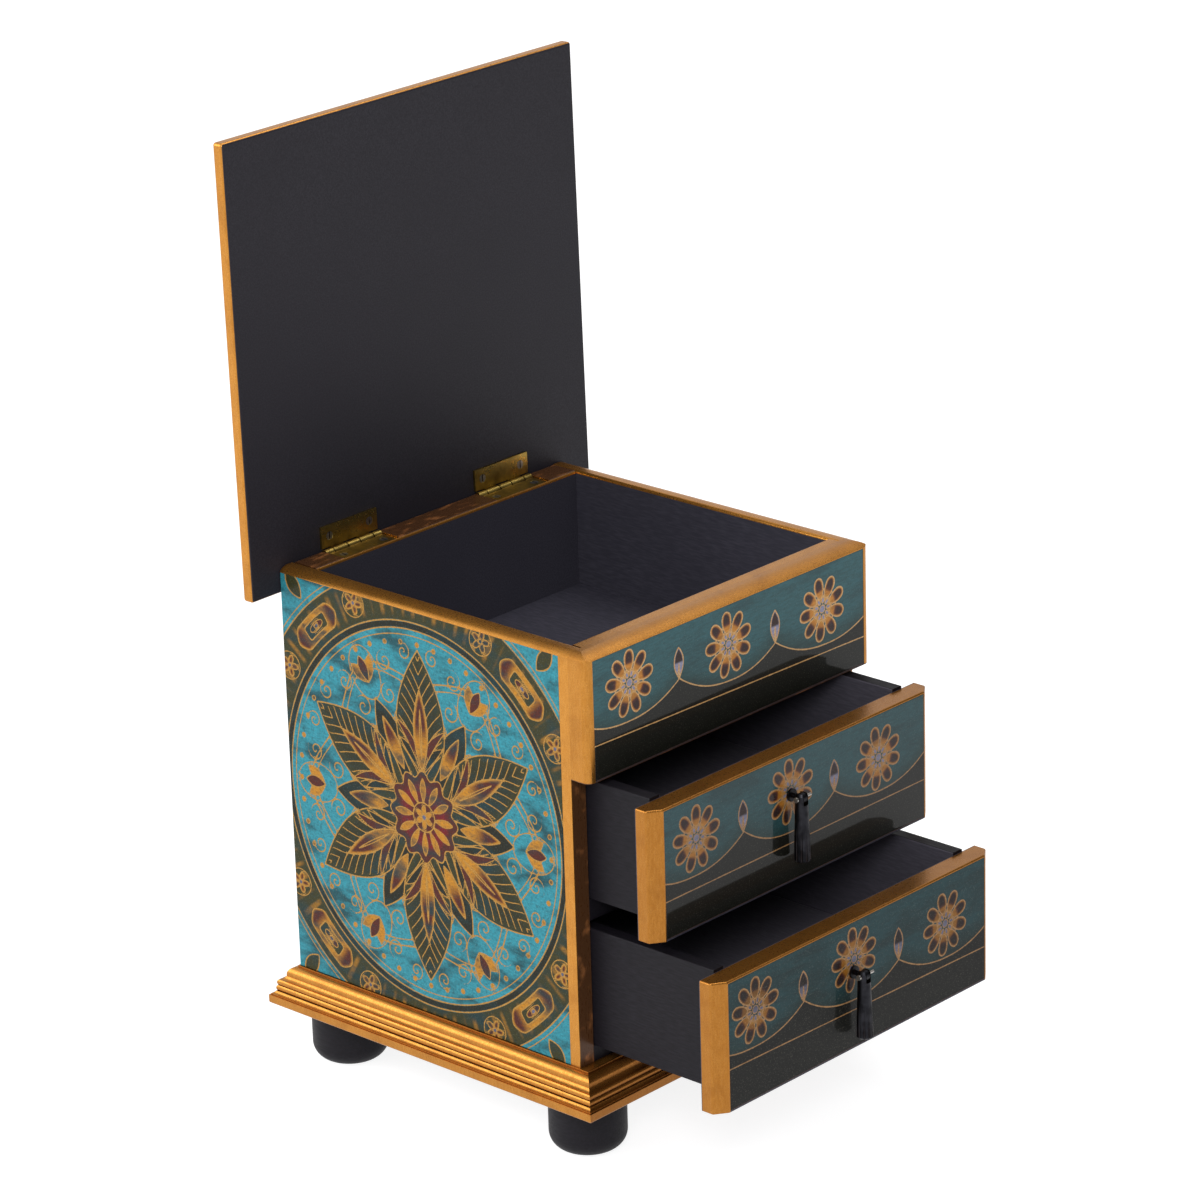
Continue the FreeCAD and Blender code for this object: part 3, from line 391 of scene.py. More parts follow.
# %% [markdown]
# ## Where black ends and gold starts
# The planes are read from the solids, so they stay right when a size of the chest changes.
# `span` measures a node along a direction: the same few lines then serve the upright pieces
# and the open lid, which leans back a little.

# %% Measure the solids
def points_of(node):
    """All corners of a node's mesh, as an array."""
    flat = np.zeros(len(nodes[node].data.vertices) * 3, np.float32)
    nodes[node].data.vertices.foreach_get("co", flat)
    return flat.reshape(-1, 3).astype(float)


def span(node, direction):
    """Where a node begins and ends along a direction, in metres."""
    along = points_of(node) @ np.array(direction)
    return float(along.min()), float(along.max())


X, Y, Z = Vector((1, 0, 0)), Vector((0, 1, 0)), Vector((0, 0, 1))
LID_LEAN = math.radians(1.1)
LID_OUT = Vector((0, math.cos(LID_LEAN), -math.sin(LID_LEAN)))
LID_DOWN = Vector((0, -math.sin(LID_LEAN), -math.cos(LID_LEAN)))
rim = span("back_wall", Z)[1]
inner = -span("left_wall", X)[1]
outer = -span("left_wall", X)[0]
wall_front = span("left_wall", Y)[0]
band_low = span("front_band", Z)[0]
print("rim", rim, "inner half", inner, "outer half", outer)

# %% [markdown]
# The walls are black inside up to a narrow gilded rim. The walls' front edges below the band,
# the band's underside and the back wall's rim are brown mottled with copper: painted shade.

# %% Metals, walls and band
SKIN, RIM_BLACK = 0.3 * MM, 1.2 * MM
below_rim = (-Z, RIM_BLACK - rim)


def under_glass(glass):
    """Planes round the strip of wood below a pane and between its ends."""
    half, low = span(glass, X)[1], span(glass, Z)[0]
    return [(-Z, -low), (X, -half), (-X, -half)]


finishes = {name: metal(name, *numbers) for name, numbers in {
    "brass": (tint(218, 186, 100), tint(124, 102, 52), 0.26, 9 * MM, 0.48),
    "steel": (tint(190, 186, 180), tint(120, 116, 110), 0.3, 2 * MM, 0.4),
    "black_iron": (tint(44, 44, 48), tint(26, 26, 29), 0.34, 4 * MM, 0.5),
}.items()}
finishes["black_wood"] = painted_black("black_paint", "box")
finishes["gilded_wood"] = gilded("gold_paint")
# Inside the walls the black is painted lighter (painted light); the brown on their front edges
# below the band is painted shade.
for side, inward in (("left", X), ("right", -X)):
    finishes[f"{side}_wall"] = gilded(f"gold_and_black_{side}", [
        ("lining", [(inward, -inner - SKIN), below_rim]),
        ("worn", [(-Y, -wall_front - SKIN), (inward, SKIN - outer), (-Z, -band_low)])])
# The back's rim is painted brown shade, and its inside black is painted lighter: painted light.
finishes["back_wall"] = gilded("gold_rim_back", [
    ("lining", [below_rim]), ("worn", [(Z, rim - SKIN)]),
    ("box", [(Y, span("back_wall", Y)[1] - SKIN), below_rim])])
finishes["tray_front_wall"] = gilded("gold_rim_front", [("lining", [below_rim])])
# The band's gold is darkened a little as painted shade, and its underside is painted brown shade.
finishes["front_band"] = gilded("gold_band", [
    ("lining", under_glass("band_glass")), ("worn", [(-Z, -SKIN - band_low)])], 0.15)
finishes["tray_floor"] = painted_black("black_lining", "lining")
print("finishes so far:", len(finishes))

# %% Lid, plinth and drawers
# The lid's underside black is painted lighter than the box black: painted light.
finishes["lid_board"] = gilded(
    "gold_lid", [("lid", [(-LID_OUT, -SKIN - span("lid_board", LID_OUT)[0])])])
finishes["plinth_board"] = gilded(
    "gold_plinth", [("box", [(-Z, -SKIN - span("plinth_board", Z)[0])])])
# Painted shade: the front moulding, under the drawers, is darkened most.
for side, shade_share in (("front", 0.65), ("left", 0.2), ("right", 0.2), ("back", 0.2)):
    finishes[f"{side}_moulding"] = gilded(f"gold_moulding_{side}", shade_share=shade_share)
for name in ("upper", "lower"):
    # Drawer fronts: gold darkened as painted shade; black behind and below the glass painted
    # lighter as painted light.
    behind = span(f"{name}_drawer_front", Y)[1] - SKIN
    finishes[f"{name}_drawer_front"] = gilded(f"gold_front_{name}", [
        ("lining", [(Y, behind)]), ("lining", under_glass(f"{name}_drawer_glass"))], 0.4)
    # Bottoms and inner faces of the drawers are painted lighter than the outsides: painted light.
    finishes[f"{name}_drawer_bottom"] = painted_black(f"black_bottom_{name}", "bottom")
    for piece, inward in (("left_side", X), ("right_side", -X), ("back", -Y)):
        node = f"{name}_drawer_{piece}"
        inside = [(inward, span(node, inward)[1] - SKIN)]
        finishes[node] = painted_black(f"black_{node}", "box", inside)
for entry in frame["record"]["subparts"]:
    node, slot = entry["node"], entry["material_slot"]
    finish = finishes.get(node, finishes.get(slot))
    if finish:
        nodes[node].data.materials.clear()
        nodes[node].data.materials.append(finish)
print("finishes:", sorted(finishes))

# %% [markdown]
# ## The white ground
# A sheet that only reflects turns grey wherever the lamps fade, while the photograph's ground is
# white up to its edges. So the paper glows as well as it reflects, and just enough of the
# reflection is left to show the shadow under the chest.

# %% Paper
PAPER_GLOW = 0.86
paper = Finish("pale_paper", roughness=0.75)
fibre = paper.noise(4 * MM)
paper.wear(Base_Color=paper.mix(fibre, tint(150, 150, 152), tint(158, 158, 158)))
paper.shader.inputs["Emission Color"].default_value = (1, 1, 1, 1)
paper.shader.inputs["Emission Strength"].default_value = PAPER_GLOW
floor_mesh.materials.append(paper.material)
print("paper glows at", PAPER_GLOW)

# %% [markdown]
# ## Paint behind the glass
# Each pane is a slab of glass with ground edges. Its painting is worked out at the points of a
# fine grid: `paint` is the colour there, and `line` is the distance to the nearest gold outline
# in millimetres, less than nothing on one side of it. Distances change evenly from point to
# point, so the shader finds the crisp line where they pass through nothing; `near` is the same
# without a sign, and keeps it from drawing where two outlines are equally far. A shape is a
# rule that gives the distance to its edge, and filling and outlining follow from that number.

# %% Shapes as distances
FAR = 50.0


def rising(values, low, high):
    """0 below low, 1 above high, smooth between them: 3 t^2 - 2 t^3."""
    part = np.clip((values - low) / (high - low), 0, 1)
    return part * part * (3 - 2 * part)


def folded(angle, count):
    """Angle from the middle of the nearest of so many equal sectors."""
    sector = 2 * math.pi / count
    return (angle + sector / 2) % sector - sector / 2


def spoke(angle, away, count):
    """Distances along and aside of the middle of the nearest of so many sectors."""
    near = folded(angle, count)
    return away * np.cos(near), away * np.sin(near)


def swung(along, aside, angle):
    """A place seen from axes swung by an angle a: x cos a - y sin a and x sin a + y cos a."""
    return (along * math.cos(angle) - aside * math.sin(angle),
            along * math.sin(angle) + aside * math.cos(angle))


def oval(along, aside, long_half, wide_half):
    """Distance to an ellipse (k - 1) * k / g, with k its level and g the slope of k."""
    level = np.hypot(along / long_half, aside / wide_half) + 1e-6
    slope = np.hypot(along / long_half ** 2, aside / wide_half ** 2) + 1e-6
    return level * (level - 1) / slope


def leaf(along, aside, length, half, lean=0.0):
    """Distance to a leaf, pointed at both ends. Half its width is
    4 half t (1 - t) (1 + lean (2 t - 1)), where t goes from 0 at its foot to 1 at its tip."""
    t = np.clip(along / length, 0, 1)
    width = 4 * half * t * (1 - t) * (1 + lean * (2 * t - 1))
    slope = 4 * half / length * ((1 - 2 * t) * (1 + lean * (2 * t - 1)) + 2 * lean * t * (1 - t))
    past = np.maximum(np.maximum(-along, along - length), 0)
    return np.hypot((np.abs(aside) - width) / np.sqrt(1 + slope ** 2), past) * np.where(
        np.abs(aside) < width, -1, 1)


def bar(along, aside, long_half, wide_half, corner):
    """Distance to a rectangle with round corners."""
    over_long = np.abs(along) - long_half + corner
    over_wide = np.abs(aside) - wide_half + corner
    outside = np.hypot(np.maximum(over_long, 0), np.maximum(over_wide, 0))
    return outside + np.minimum(np.maximum(over_long, over_wide), 0) - corner


# %% A painting
FILL_SOFT = 0.15
THIN = 0.08


class Painting:
    """Paint on a pane: a colour and the distance to the nearest outline at every point."""

    def __init__(self, across, up, ground):
        self.across, self.up = across, up
        self.paint = np.broadcast_to(np.array(ground[:3]), across.shape + (3,)).copy()
        self.line = np.full(across.shape, FAR)

    def fill(self, amount, colour):
        """Lay a colour over the paint where amount is 1."""
        self.paint += amount[..., None] * (np.array(colour[:3]) - self.paint)

    def outline(self, distance, thinner=0.0):
        """Draw the edge of a shape in gold."""
        further = distance + thinner * np.sign(distance)
        self.line = np.where(np.abs(further) < np.abs(self.line), further, self.line)

    def shape(self, distance, colour, thinner=0.0):
        """Cover what lies under a shape, fill it and outline it."""
        self.line = np.where(distance < 0, FAR, self.line)
        self.fill(rising(-distance, -FILL_SOFT, FILL_SOFT), colour)
        self.outline(distance, thinner)

    def around(self, centre, turn=0.0, squeeze=(1, 1)):
        """Angle and reach of every point seen from a centre."""
        right = (self.across - centre[0]) * squeeze[0]
        above = (self.up - centre[1]) * squeeze[1]
        return np.arctan2(above, right) - turn, np.hypot(right, above)


# %% [markdown]
# ## Flowers and garlands of the fronts
# A flower of the fronts has nine petals round a lilac heart: ochre at the base, brown-red at the
# tips. Between the flowers stand buds on the points of a hanging garland, and a straight line
# runs beneath. The ground is teal above the garland and dark olive below it.

# %% Flower and bud
TEAL, TEAL_DEEP = tint(44, 88, 94), tint(34, 56, 52)
OLIVE_BLACK = tint(20, 21, 16)
OCHRE, OCHRE_PALE = tint(192, 124, 40), tint(198, 142, 62)
MAROON, MAROON_DARK = tint(84, 38, 28), tint(46, 22, 20)
LILAC = tint(142, 142, 168)
FLOWER_REACH, FLOWER_PETALS, FLOWER_TURN = 12.9, 9, 0.1
PETAL_MIDDLE, PETAL_LONG = 0.67 * FLOWER_REACH, 0.33 * FLOWER_REACH
BUD_HALF = 2.5


def flower(painting, centre, turn):
    """Petals as ovals on a ring, then the ochre rays, the lilac beads and the heart."""
    reach = FLOWER_REACH
    angle, away = painting.around(centre, turn)
    along, aside = spoke(angle, away, FLOWER_PETALS)
    spread = 1 + 0.22 * (along - PETAL_MIDDLE) / PETAL_LONG
    aside = aside / np.clip(spread, 0.5, 1.5)
    petal = oval(along - PETAL_MIDDLE, aside, PETAL_LONG, 0.185 * reach)
    painting.shape(petal, OCHRE)
    for low, high, rim_low, rim_high, colour in ((0.52, 0.62, 0.3, 0.8, MAROON),
                                                 (0.58, 0.72, 0.6, 1.2, MAROON_DARK)):
        tip = rising(along, low * reach, high * reach)
        painting.fill(tip * rising(-petal, rim_low, rim_high), colour)
    painting.fill(rising(-np.abs(away - PETAL_LONG), -0.14 * reach, -0.05 * reach), OCHRE_PALE)
    ray, off_ray = spoke(angle + math.pi / FLOWER_PETALS, away, FLOWER_PETALS)
    bead = oval(ray - 0.27 * reach, off_ray, 0.09 * reach, 0.055 * reach)
    painting.shape(bead, LILAC, THIN)
    painting.outline(leaf(ray - 0.36 * reach, off_ray, 0.26 * reach, 0.03 * reach), 2 * THIN)
    painting.shape(away - 0.12 * reach, LILAC, THIN)


def bud(painting, foot, height):
    """An almond on a point of the garland, lilac below and brown-red above."""
    along, aside = painting.up - foot[1], painting.across - foot[0]
    almond = leaf(along, aside, height, BUD_HALF, 0.15)
    painting.shape(almond, LILAC)
    upper = rising(along, 0.46 * height, 0.56 * height)
    painting.fill(upper * rising(-almond, 0.2, 0.6), MAROON_DARK)
    painting.outline(leaf(along, aside, 0.5 * height, 0.12 * BUD_HALF), THIN)


# %% A whole front
def front_painting(across, up, cusps, sag, line, flowers, buds, shade_factor):
    """The whole front: the garland hangs between its cusps by sag * (1 - |2t - 1| ^ 2.3)."""
    painting = Painting(across, up, TEAL)
    ends = np.array(cusps)
    garland = np.full(across.shape, -FAR)
    for (x0, z0), (x1, z1) in zip(ends[:-1], ends[1:]):
        t = (across - x0) / (x1 - x0)
        hang = z0 + (z1 - z0) * t - sag * (1 - np.abs(2 * t - 1) ** 2.3)
        garland = np.where((t >= 0) & (t <= 1), hang, garland)
    slope = np.gradient(garland[:, 0], across[:, 0])[:, None]
    above = (up - garland) / np.sqrt(1 + slope ** 2)
    painting.fill(rising(-above, -9, 1) * 0.75, TEAL_DEEP)
    painting.fill(rising(-above, -0.1, 0.1), OLIVE_BLACK)
    painting.outline(above)
    part = (across - across.min()) / (across.max() - across.min())
    painting.outline(up - (line[0] + (line[1] - line[0]) * part), THIN / 2)
    for index, centre in enumerate(flowers):
        flower(painting, centre, math.pi / 2 + FLOWER_TURN * index)
    for (x, top), (foot_x, foot_z) in zip(buds, cusps[1:-1]):
        bud(painting, ((x + foot_x) / 2, foot_z), top - foot_z)
    # Painted shade: the front's paint is darkened by its shade factor.
    painting.paint *= shade_factor
    return painting


# Places are (x, z) in millimetres: points of the garland, ends of the straight line, middles of
# the flowers and tips of the buds. The shade factor darkens a front's paint: painted shade.
FRONTS = {
    "band_glass": dict(
        cusps=[(-87.5, 181.5), (-29.7, 181.4), (24.6, 179.3), (81.2, 177.5)], sag=8.3,
        line=(168.9, 166.4), flowers=[(-57, 188), (-2, 186.6), (52, 184.7)],
        buds=[(-30, 193.6), (24.5, 192.2)], shade_factor=1),
    "upper_drawer_glass": dict(
        cusps=[(-88, 129), (-30.7, 128.8), (21.1, 128.3), (76, 128.4)], sag=8.6,
        line=(115.1, 115.8), flowers=[(-57, 134.9), (-4, 136.3), (47, 133.5)],
        buds=[(-31.4, 141.3), (21, 140.8)], shade_factor=0.62),
    "lower_drawer_glass": dict(
        cusps=[(-90, 69.8), (-32.1, 69.4), (22.6, 66.9), (79, 65.6)], sag=8.4,
        line=(56.9, 54.1), flowers=[(-59.6, 75.9), (-3.4, 76.2), (50.4, 72)],
        buds=[(-33, 81.5), (22.5, 79.8)], shade_factor=0.45),
}
print("fronts:", ", ".join(FRONTS))

# %% [markdown]
# ## Round ornament
# The sides and the lid have a round ornament of a kind found all over the world: a turquoise
# field in a dark ring, with leaves that radiate from a rosette. Folding the angle into equal
# sectors draws every leaf at once. The sides have six leaves and the lid has eight. All of it
# is drawn for a field that reaches 70, and squeezed to the pane that it adorns.

# %% Colours and small shapes
TURQUOISE, TURQUOISE_DEEP = tint(42, 124, 138), tint(16, 46, 50)
OLIVE, OLIVE_DARK = tint(46, 46, 20), tint(24, 25, 13)
AMBER, WINE, CRIMSON = tint(166, 112, 26), tint(70, 25, 16), tint(98, 13, 19)
MIST = tint(86, 88, 110)
CURL_TURNS = 1.5
ROSETTE_REACH, ROSETTE_PETALS, ROSETTE_RING = 4.6, 5, 5.6


def curl(painting, along, aside, size):
    """Spiral line of one and a half turns, its reach growing evenly with the angle."""
    reach, angle = np.hypot(along, aside), np.arctan2(aside, along)
    part = (CURL_TURNS * reach / size - angle / (2 * math.pi)) % 1 - 0.5
    painting.outline(np.where(reach < size, part * size / CURL_TURNS, FAR))


def rosette(painting, centre):
    """A little flower in a ring: petals are ovals, and the ring is a thin line."""
    reach = ROSETTE_REACH
    angle, away = painting.around(centre)
    along, aside = spoke(angle, away, ROSETTE_PETALS)
    petal = oval(along - 0.55 * reach, aside, 0.42 * reach, 0.26 * reach)
    painting.shape(petal, AMBER, THIN)
    painting.fill(rising(-petal, 0.3, 0.9), WINE)
    painting.shape(away - 0.2 * reach, MIST, THIN)
    painting.outline(away - ROSETTE_RING, THIN)


# %% The dark ring
FIELD, FIELD_EDGE, RING_LOW, RING_HIGH = 70.0, 71.2, 74, 90
RING_MIDDLE, RING_RUN, RING_LEAF = 81.8, 81.5, 93.5
CIRCLES = ((68.9, THIN), (FIELD_EDGE, 0), (RING_LOW, 0), (RING_HIGH, 0), (92, THIN))
ROSETTE_TURN = 0.3


def band(away, low, high, soft):
    """1 between two radii, fading to 0 over a soft width inside each of them."""
    return rising(away, low, low + soft) * rising(-away, -high, soft - high)


def ring(painting, angle, away):
    """Two bands of olive and the circles that edge them, with strokes of amber that come and
    go round the ring as sin(90 a) + 0.4 sin(37 a)."""
    painting.fill(band(away, RING_LOW, RING_HIGH, 0.3), OLIVE)
    painting.fill(band(away, FIELD_EDGE, RING_LOW, 0.3), OLIVE_DARK)
    strokes = rising(np.sin(angle * 90) + 0.4 * np.sin(angle * 37), 0.3, 1.2)
    painting.fill(strokes * band(away, 75, 89, 3) * 0.5, AMBER)
    for radius, thinner in CIRCLES:
        painting.outline(away - radius, thinner)


def cartouches(painting, angle, away, centre, squeeze, corner):
    """Toward each corner of the pane: a panel with half a length of 11.5 + 1.6 cos(rise / 2),
    a smaller one and two ovals in it, a leaf outside the ring, and a rosette on either hand."""
    for base in (corner, math.pi - corner, -corner, math.pi + corner):
        off = (angle + math.pi / 2 - base + math.pi) % (2 * math.pi) - math.pi
        run, rise = RING_RUN * off, away - RING_MIDDLE
        panel = bar(run, rise, 11.5 + 1.6 * np.cos(rise * 0.5), 4.9, 1.4)
        painting.shape(panel, AMBER)
        painting.fill(rising(-panel, 0.2, 1.2) * rising(np.abs(run), 5, 10), WINE)
        painting.shape(bar(run, rise, 6.6, 2.8, 1.2), OLIVE)
        painting.shape(oval(run, rise, 4.2, 1.5), WINE, THIN)
        painting.shape(oval(run, rise, 1.2, 0.8), MIST, THIN)
        painting.shape(leaf(away - RING_LEAF, RING_LEAF * off, 12, 3), OLIVE)
        for turn in (base - ROSETTE_TURN, base + ROSETTE_TURN):
            rosette(painting, (centre[0] + RING_MIDDLE * math.cos(turn) / squeeze[0],
                               centre[1] + RING_MIDDLE * math.sin(turn) / squeeze[1]))


# %% Edge of the field
STUDS, STUD_RADIUS, BUD_FOOT = 66, 0.9, 53
CURLS = ((46, 8, 4.4), (57.5, 12.6, 4.4), (36, 8.5, 3.4))


def field_edge(painting, angle, away, leaves):
    """Scallops at 61 - 9 |cos(n a / 2)| ^ 1.6 with n leaves, in two lines, and a ring of studs."""
    scallop = away - (61 - 9 * np.abs(np.cos(angle * leaves / 2)) ** 1.6)
    painting.outline(scallop * 0.8)
    painting.outline(scallop * 0.8 + 2.2, THIN)
    stud = np.hypot(away - STUDS, STUDS * folded(angle, 8 * leaves)) - STUD_RADIUS
    painting.shape(stud, AMBER, THIN)


def opening_bud(painting, along, aside):
    """Three petals swung apart in an oval, with pairs of curls (place, distance apart, size)."""
    for swing, colour in ((-0.55, AMBER), (0.55, AMBER), (0, WINE)):
        lean, side = swung(along - BUD_FOOT, aside, swing)
        painting.shape(leaf(lean, side, 10.5, 2.2, 0.2), colour, THIN)
    painting.outline(oval(along - 57, aside, 10.5, 7.5), THIN)
    for place, apart, size in CURLS:
        curl(painting, along - place, np.abs(aside) - apart, size)


# %% Leaves
VEIN_GAP, VEIN_RISE, VEIN_BEND = 5.2, 1.7, 0.045


def small_leaf(painting, along, aside):
    """A dark leaf with a heart of amber that ends in wine red."""
    painting.shape(leaf(along - 14, aside, 33, 6.6, -0.1), OLIVE_DARK)
    heart = leaf(along - 19, aside, 21, 2.8, -0.1)
    painting.shape(heart, AMBER, THIN)
    painting.fill(rising(-heart, 0.3, 1) * rising(along, 25, 33), WINE)


def large_leaf(painting, along, aside, slim):
    """A leaf with veins where x - 1.7 |y| + 0.045 y^2 is half way between multiples of the gap,
    two pairs of curled fronds over it, and a plume of amber. Slim is a share of its width."""
    blade = leaf(along - 9, aside, 55, 12.5 * slim, -0.15)
    painting.shape(blade, OLIVE)
    painting.fill(rising(-blade, 0, 5) * 0.5, OLIVE_DARK)
    curve = along - VEIN_RISE * np.abs(aside) + VEIN_BEND * aside ** 2
    steep = np.hypot(1, VEIN_RISE - 2 * VEIN_BEND * np.abs(aside))
    curl(painting, along - 62, np.abs(aside) - 7.5, 3.6)
    veins = (curve % VEIN_GAP - VEIN_GAP / 2) / steep
    painting.outline(np.where(blade < -1, veins, FAR), THIN)
    for reach, spread, colour in ((17, 0.62, OLIVE_DARK), (23, 0.36, WINE)):
        for way in (-1, 1):
            lean, side = swung(along - 16, way * aside, -spread)
            frond = leaf(lean, side - 0.02 * (lean - 6) ** 2 + 0.6, reach * slim, 1.7, 0.2)
            painting.shape(frond, colour, THIN)
    plume = leaf(along - 18, aside, 31, 3.6 * slim, -0.1)
    painting.shape(plume, AMBER)
    painting.fill(rising(-plume, 0.3, 1.2) * rising(along, 27, 36), WINE)
    painting.outline(leaf(along - 22, aside, 20, 0.5), THIN)


# %% The whole ornament
WIDEST = 6


def middle_rosette(painting, angle, away, leaves):
    """A scalloped dark disc 16.5 + 1.3 cos(2 n a) with pale petals, and a small flower."""
    many = 2 * leaves
    painting.shape(away - 16.5 - 1.3 * np.cos(angle * many), WINE)
    painting.fill(rising(away, 5, 9) * rising(-away, -14, -11), CRIMSON)
    along, aside = spoke(angle, away, many)
    painting.shape(leaf(along - 5.5, aside, 9.6, 1.35, 0.3), AMBER, THIN)
    painting.shape(away - 5.6, WINE)
    along, aside = spoke(angle, away, leaves)
    painting.shape(oval(along - 2.7, aside, 1.7, 1.0), AMBER, THIN)
    painting.shape(away - 1.1, MIST, THIN)


def round_painting(across, up, centre, radii, leaves, painted_light_gain=1.0):
    """Ring, cartouches and rosettes round a star of leaves, in an oval with two radii."""
    painting = Painting(across, up, TURQUOISE)
    squeeze = (FIELD / radii[0], FIELD / radii[1])
    angle, away = painting.around(centre, math.pi / 2, squeeze)
    corner = math.atan2(up.max() - centre[1], across.max() - centre[0])
    ring(painting, angle, away)
    cartouches(painting, angle, away, centre, squeeze, corner)
    field_edge(painting, angle, away, leaves)
    gap = spoke(angle + math.pi / leaves, away, leaves)
    opening_bud(painting, *gap)
    small_leaf(painting, *gap)
    large_leaf(painting, *spoke(angle, away, leaves), WIDEST / leaves)
    middle_rosette(painting, angle, away, leaves)
    # Painted light: the lid's paint is brightened by this factor, above that of the sides.
    painting.paint *= painted_light_gain
    return painting


# %% [markdown]
# ## The panes
# The shader under the glass adds what a brush leaves: streaks along the stroke, smudges of the
# darker colour, and a gold line that swells and thins. The glass itself is the shader's coat,
# a clear smooth layer with its own sharp reflection over the paint.

# %% Painted glass
SHADE, CHALK = tint(20, 18, 18), tint(255, 245, 225)
LINE_SOFT = 0.07


def painted_glass(name, stroke, smudge, smudge_colour, thread, swell, coat):
    """Colour from `paint`, gold line from `line` and `near`, smudges and streaks from noise."""
    finish = Finish(name, roughness=0.5, specular=0.08, coat=coat, coat_roughness=0.05)
    paint = finish.add("ShaderNodeAttribute", attribute_name="paint").outputs["Color"]
    line = finish.add("ShaderNodeAttribute", attribute_name="line").outputs["Fac"]
    near = finish.add("ShaderNodeAttribute", attribute_name="near").outputs["Fac"]
    streak = finish.noise(0.8 * MM, stroke, 4.0)
    cloud = finish.noise(7 * MM, stroke, 5.0)
    fleck = finish.noise(0.5 * MM, detail=2.0)
    speck = finish.noise(1.1 * MM, detail=5.0)
    colour = finish.mix(finish.between(cloud, 0.45, 0.7, 0, smudge), paint, smudge_colour)
    colour = finish.mix(finish.between(speck, 0.5, 0.72, 0, smudge / 2), colour, smudge_colour)
    dark, pale = finish.mix(0.28, colour, SHADE), finish.mix(0.04, colour, CHALK)
    colour = finish.mix(finish.between(streak, 0.3, 0.7), dark, colour)
    colour = finish.mix(finish.between(fleck, 0.55, 0.75), colour, pale)
    half = finish.between(finish.noise(2.2 * MM), 0.25, 0.75, *swell)
    edge = finish.reckon("SUBTRACT", half, finish.reckon("ABSOLUTE", line))
    alone = finish.between(finish.reckon("SUBTRACT", near, half), 0.35, 0.45, 1, 0)
    gold = finish.reckon("MULTIPLY", finish.between(edge, -LINE_SOFT, LINE_SOFT), alone)
    gilt = finish.mix(finish.between(fleck, 0.3, 0.7), *thread)
    finish.wear(Base_Color=finish.mix(gold, colour, gilt))
    finish.relief(streak, 0.02 * MM, 0.3)
    return finish.material


# %% Slabs of glass
GROUND_EDGE = 0.3 * MM
GLASS_SHARP = math.radians(50)


def stations(length, cell):
    """Places along one side of a pane: close together on the ground edge, then evenly spaced."""
    count = round((length - 2 * GROUND_EDGE) / cell)
    edge = np.array([0, 0.1, 0.3, 0.6]) * GROUND_EDGE
    middle = np.linspace(GROUND_EDGE, length - GROUND_EDGE, count + 1)
    return np.concatenate([edge, middle, length - edge[::-1]])


def slab(node, across, up, cell):
    """Points and faces of a node's glass, seen with across to the right and up upward. Its
    face is the grid origin + across a + up b, let down at the edge by r - sqrt(r^2 - (r - d)^2),
    where d is the distance to the edge and r the width of the ground edge. The numbers of the
    points along its border and the places of the grid, in millimetres, come with them."""
    out = across.cross(up)
    (left, right), (low, high), (back, face) = (span(node, way) for way in (across, up, out))
    a, b = np.meshgrid(stations(right - left, cell), stations(high - low, cell), indexing="ij")
    inset = np.minimum(np.minimum(a, right - left - a), np.minimum(b, high - low - b))
    short = np.maximum(GROUND_EDGE - inset, 0)
    drop = GROUND_EDGE - np.sqrt(GROUND_EDGE ** 2 - short ** 2)
    grid = ((left + a)[..., None] * np.array(across) + (low + b)[..., None] * np.array(up)
            + (face - drop)[..., None] * np.array(out))
    rows, columns = a.shape
    number = np.arange(rows * columns).reshape(rows, columns)
    quads = np.stack([number[:-1, :-1], number[1:, :-1], number[1:, 1:], number[:-1, 1:]], -1)
    border = np.concatenate([number[:-1, 0], number[-1, :-1], number[:0:-1, -1],
                             number[0, :0:-1]])
    behind = rows * columns + np.arange(len(border))
    rim_quads = np.stack([border, behind, np.roll(behind, -1), np.roll(border, -1)], -1)
    points = grid.reshape(-1, 3)
    depth = np.array(out) * (points[border] @ np.array(out) - back)[:, None]
    points = np.concatenate([points, points[border] - depth])
    faces = quads.reshape(-1, 4).tolist() + rim_quads.tolist() + [behind[::-1].tolist()]
    return points, faces, border, left / MM + a / MM, low / MM + b / MM


def pane(node, across, up, cell, finish, paint):
    """The glass of a node with its painting. The points of the back edge take what the points
    of the border in front of them have."""
    points, faces, border, right, above = slab(node, across, up, cell)
    mesh = bpy.data.meshes.new(f"{node}_painted")
    mesh.from_pydata(points.tolist(), [], faces)
    painting = paint(right, above)
    colour = painting.paint.reshape(-1, 3)
    colour = np.concatenate([colour, colour[border]])
    colour = np.concatenate([colour, np.ones((len(colour), 1))], 1)
    line = painting.line.reshape(-1)
    line = np.concatenate([line, line[border]])
    mesh.attributes.new("paint", "FLOAT_COLOR", "POINT").data.foreach_set("color", colour.ravel())
    for name, values in (("line", line), ("near", np.abs(line))):
        mesh.attributes.new(name, "FLOAT", "POINT").data.foreach_set("value", values)
    mesh.shade_smooth()
    mesh.set_sharp_from_angle(angle=GLASS_SHARP)
    mesh.materials.append(finish)
    piece = bpy.data.objects.new(f"{node}_painted", mesh)
    bpy.context.scene.collection.objects.link(piece)
    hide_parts(node)
    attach(piece, nodes[node]["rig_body"])
    print(piece.name, len(faces), "faces")


# %% Panes of the fronts
FRONT_CELL, SIDE_CELL, LID_CELL = 0.36 * MM, 0.51 * MM, 0.6 * MM
LINE_HALF, LINE_HALF_LID = (0.2, 0.32), (0.24, 0.36)
THREAD_BAND = (tint(168, 126, 76), tint(208, 166, 112))
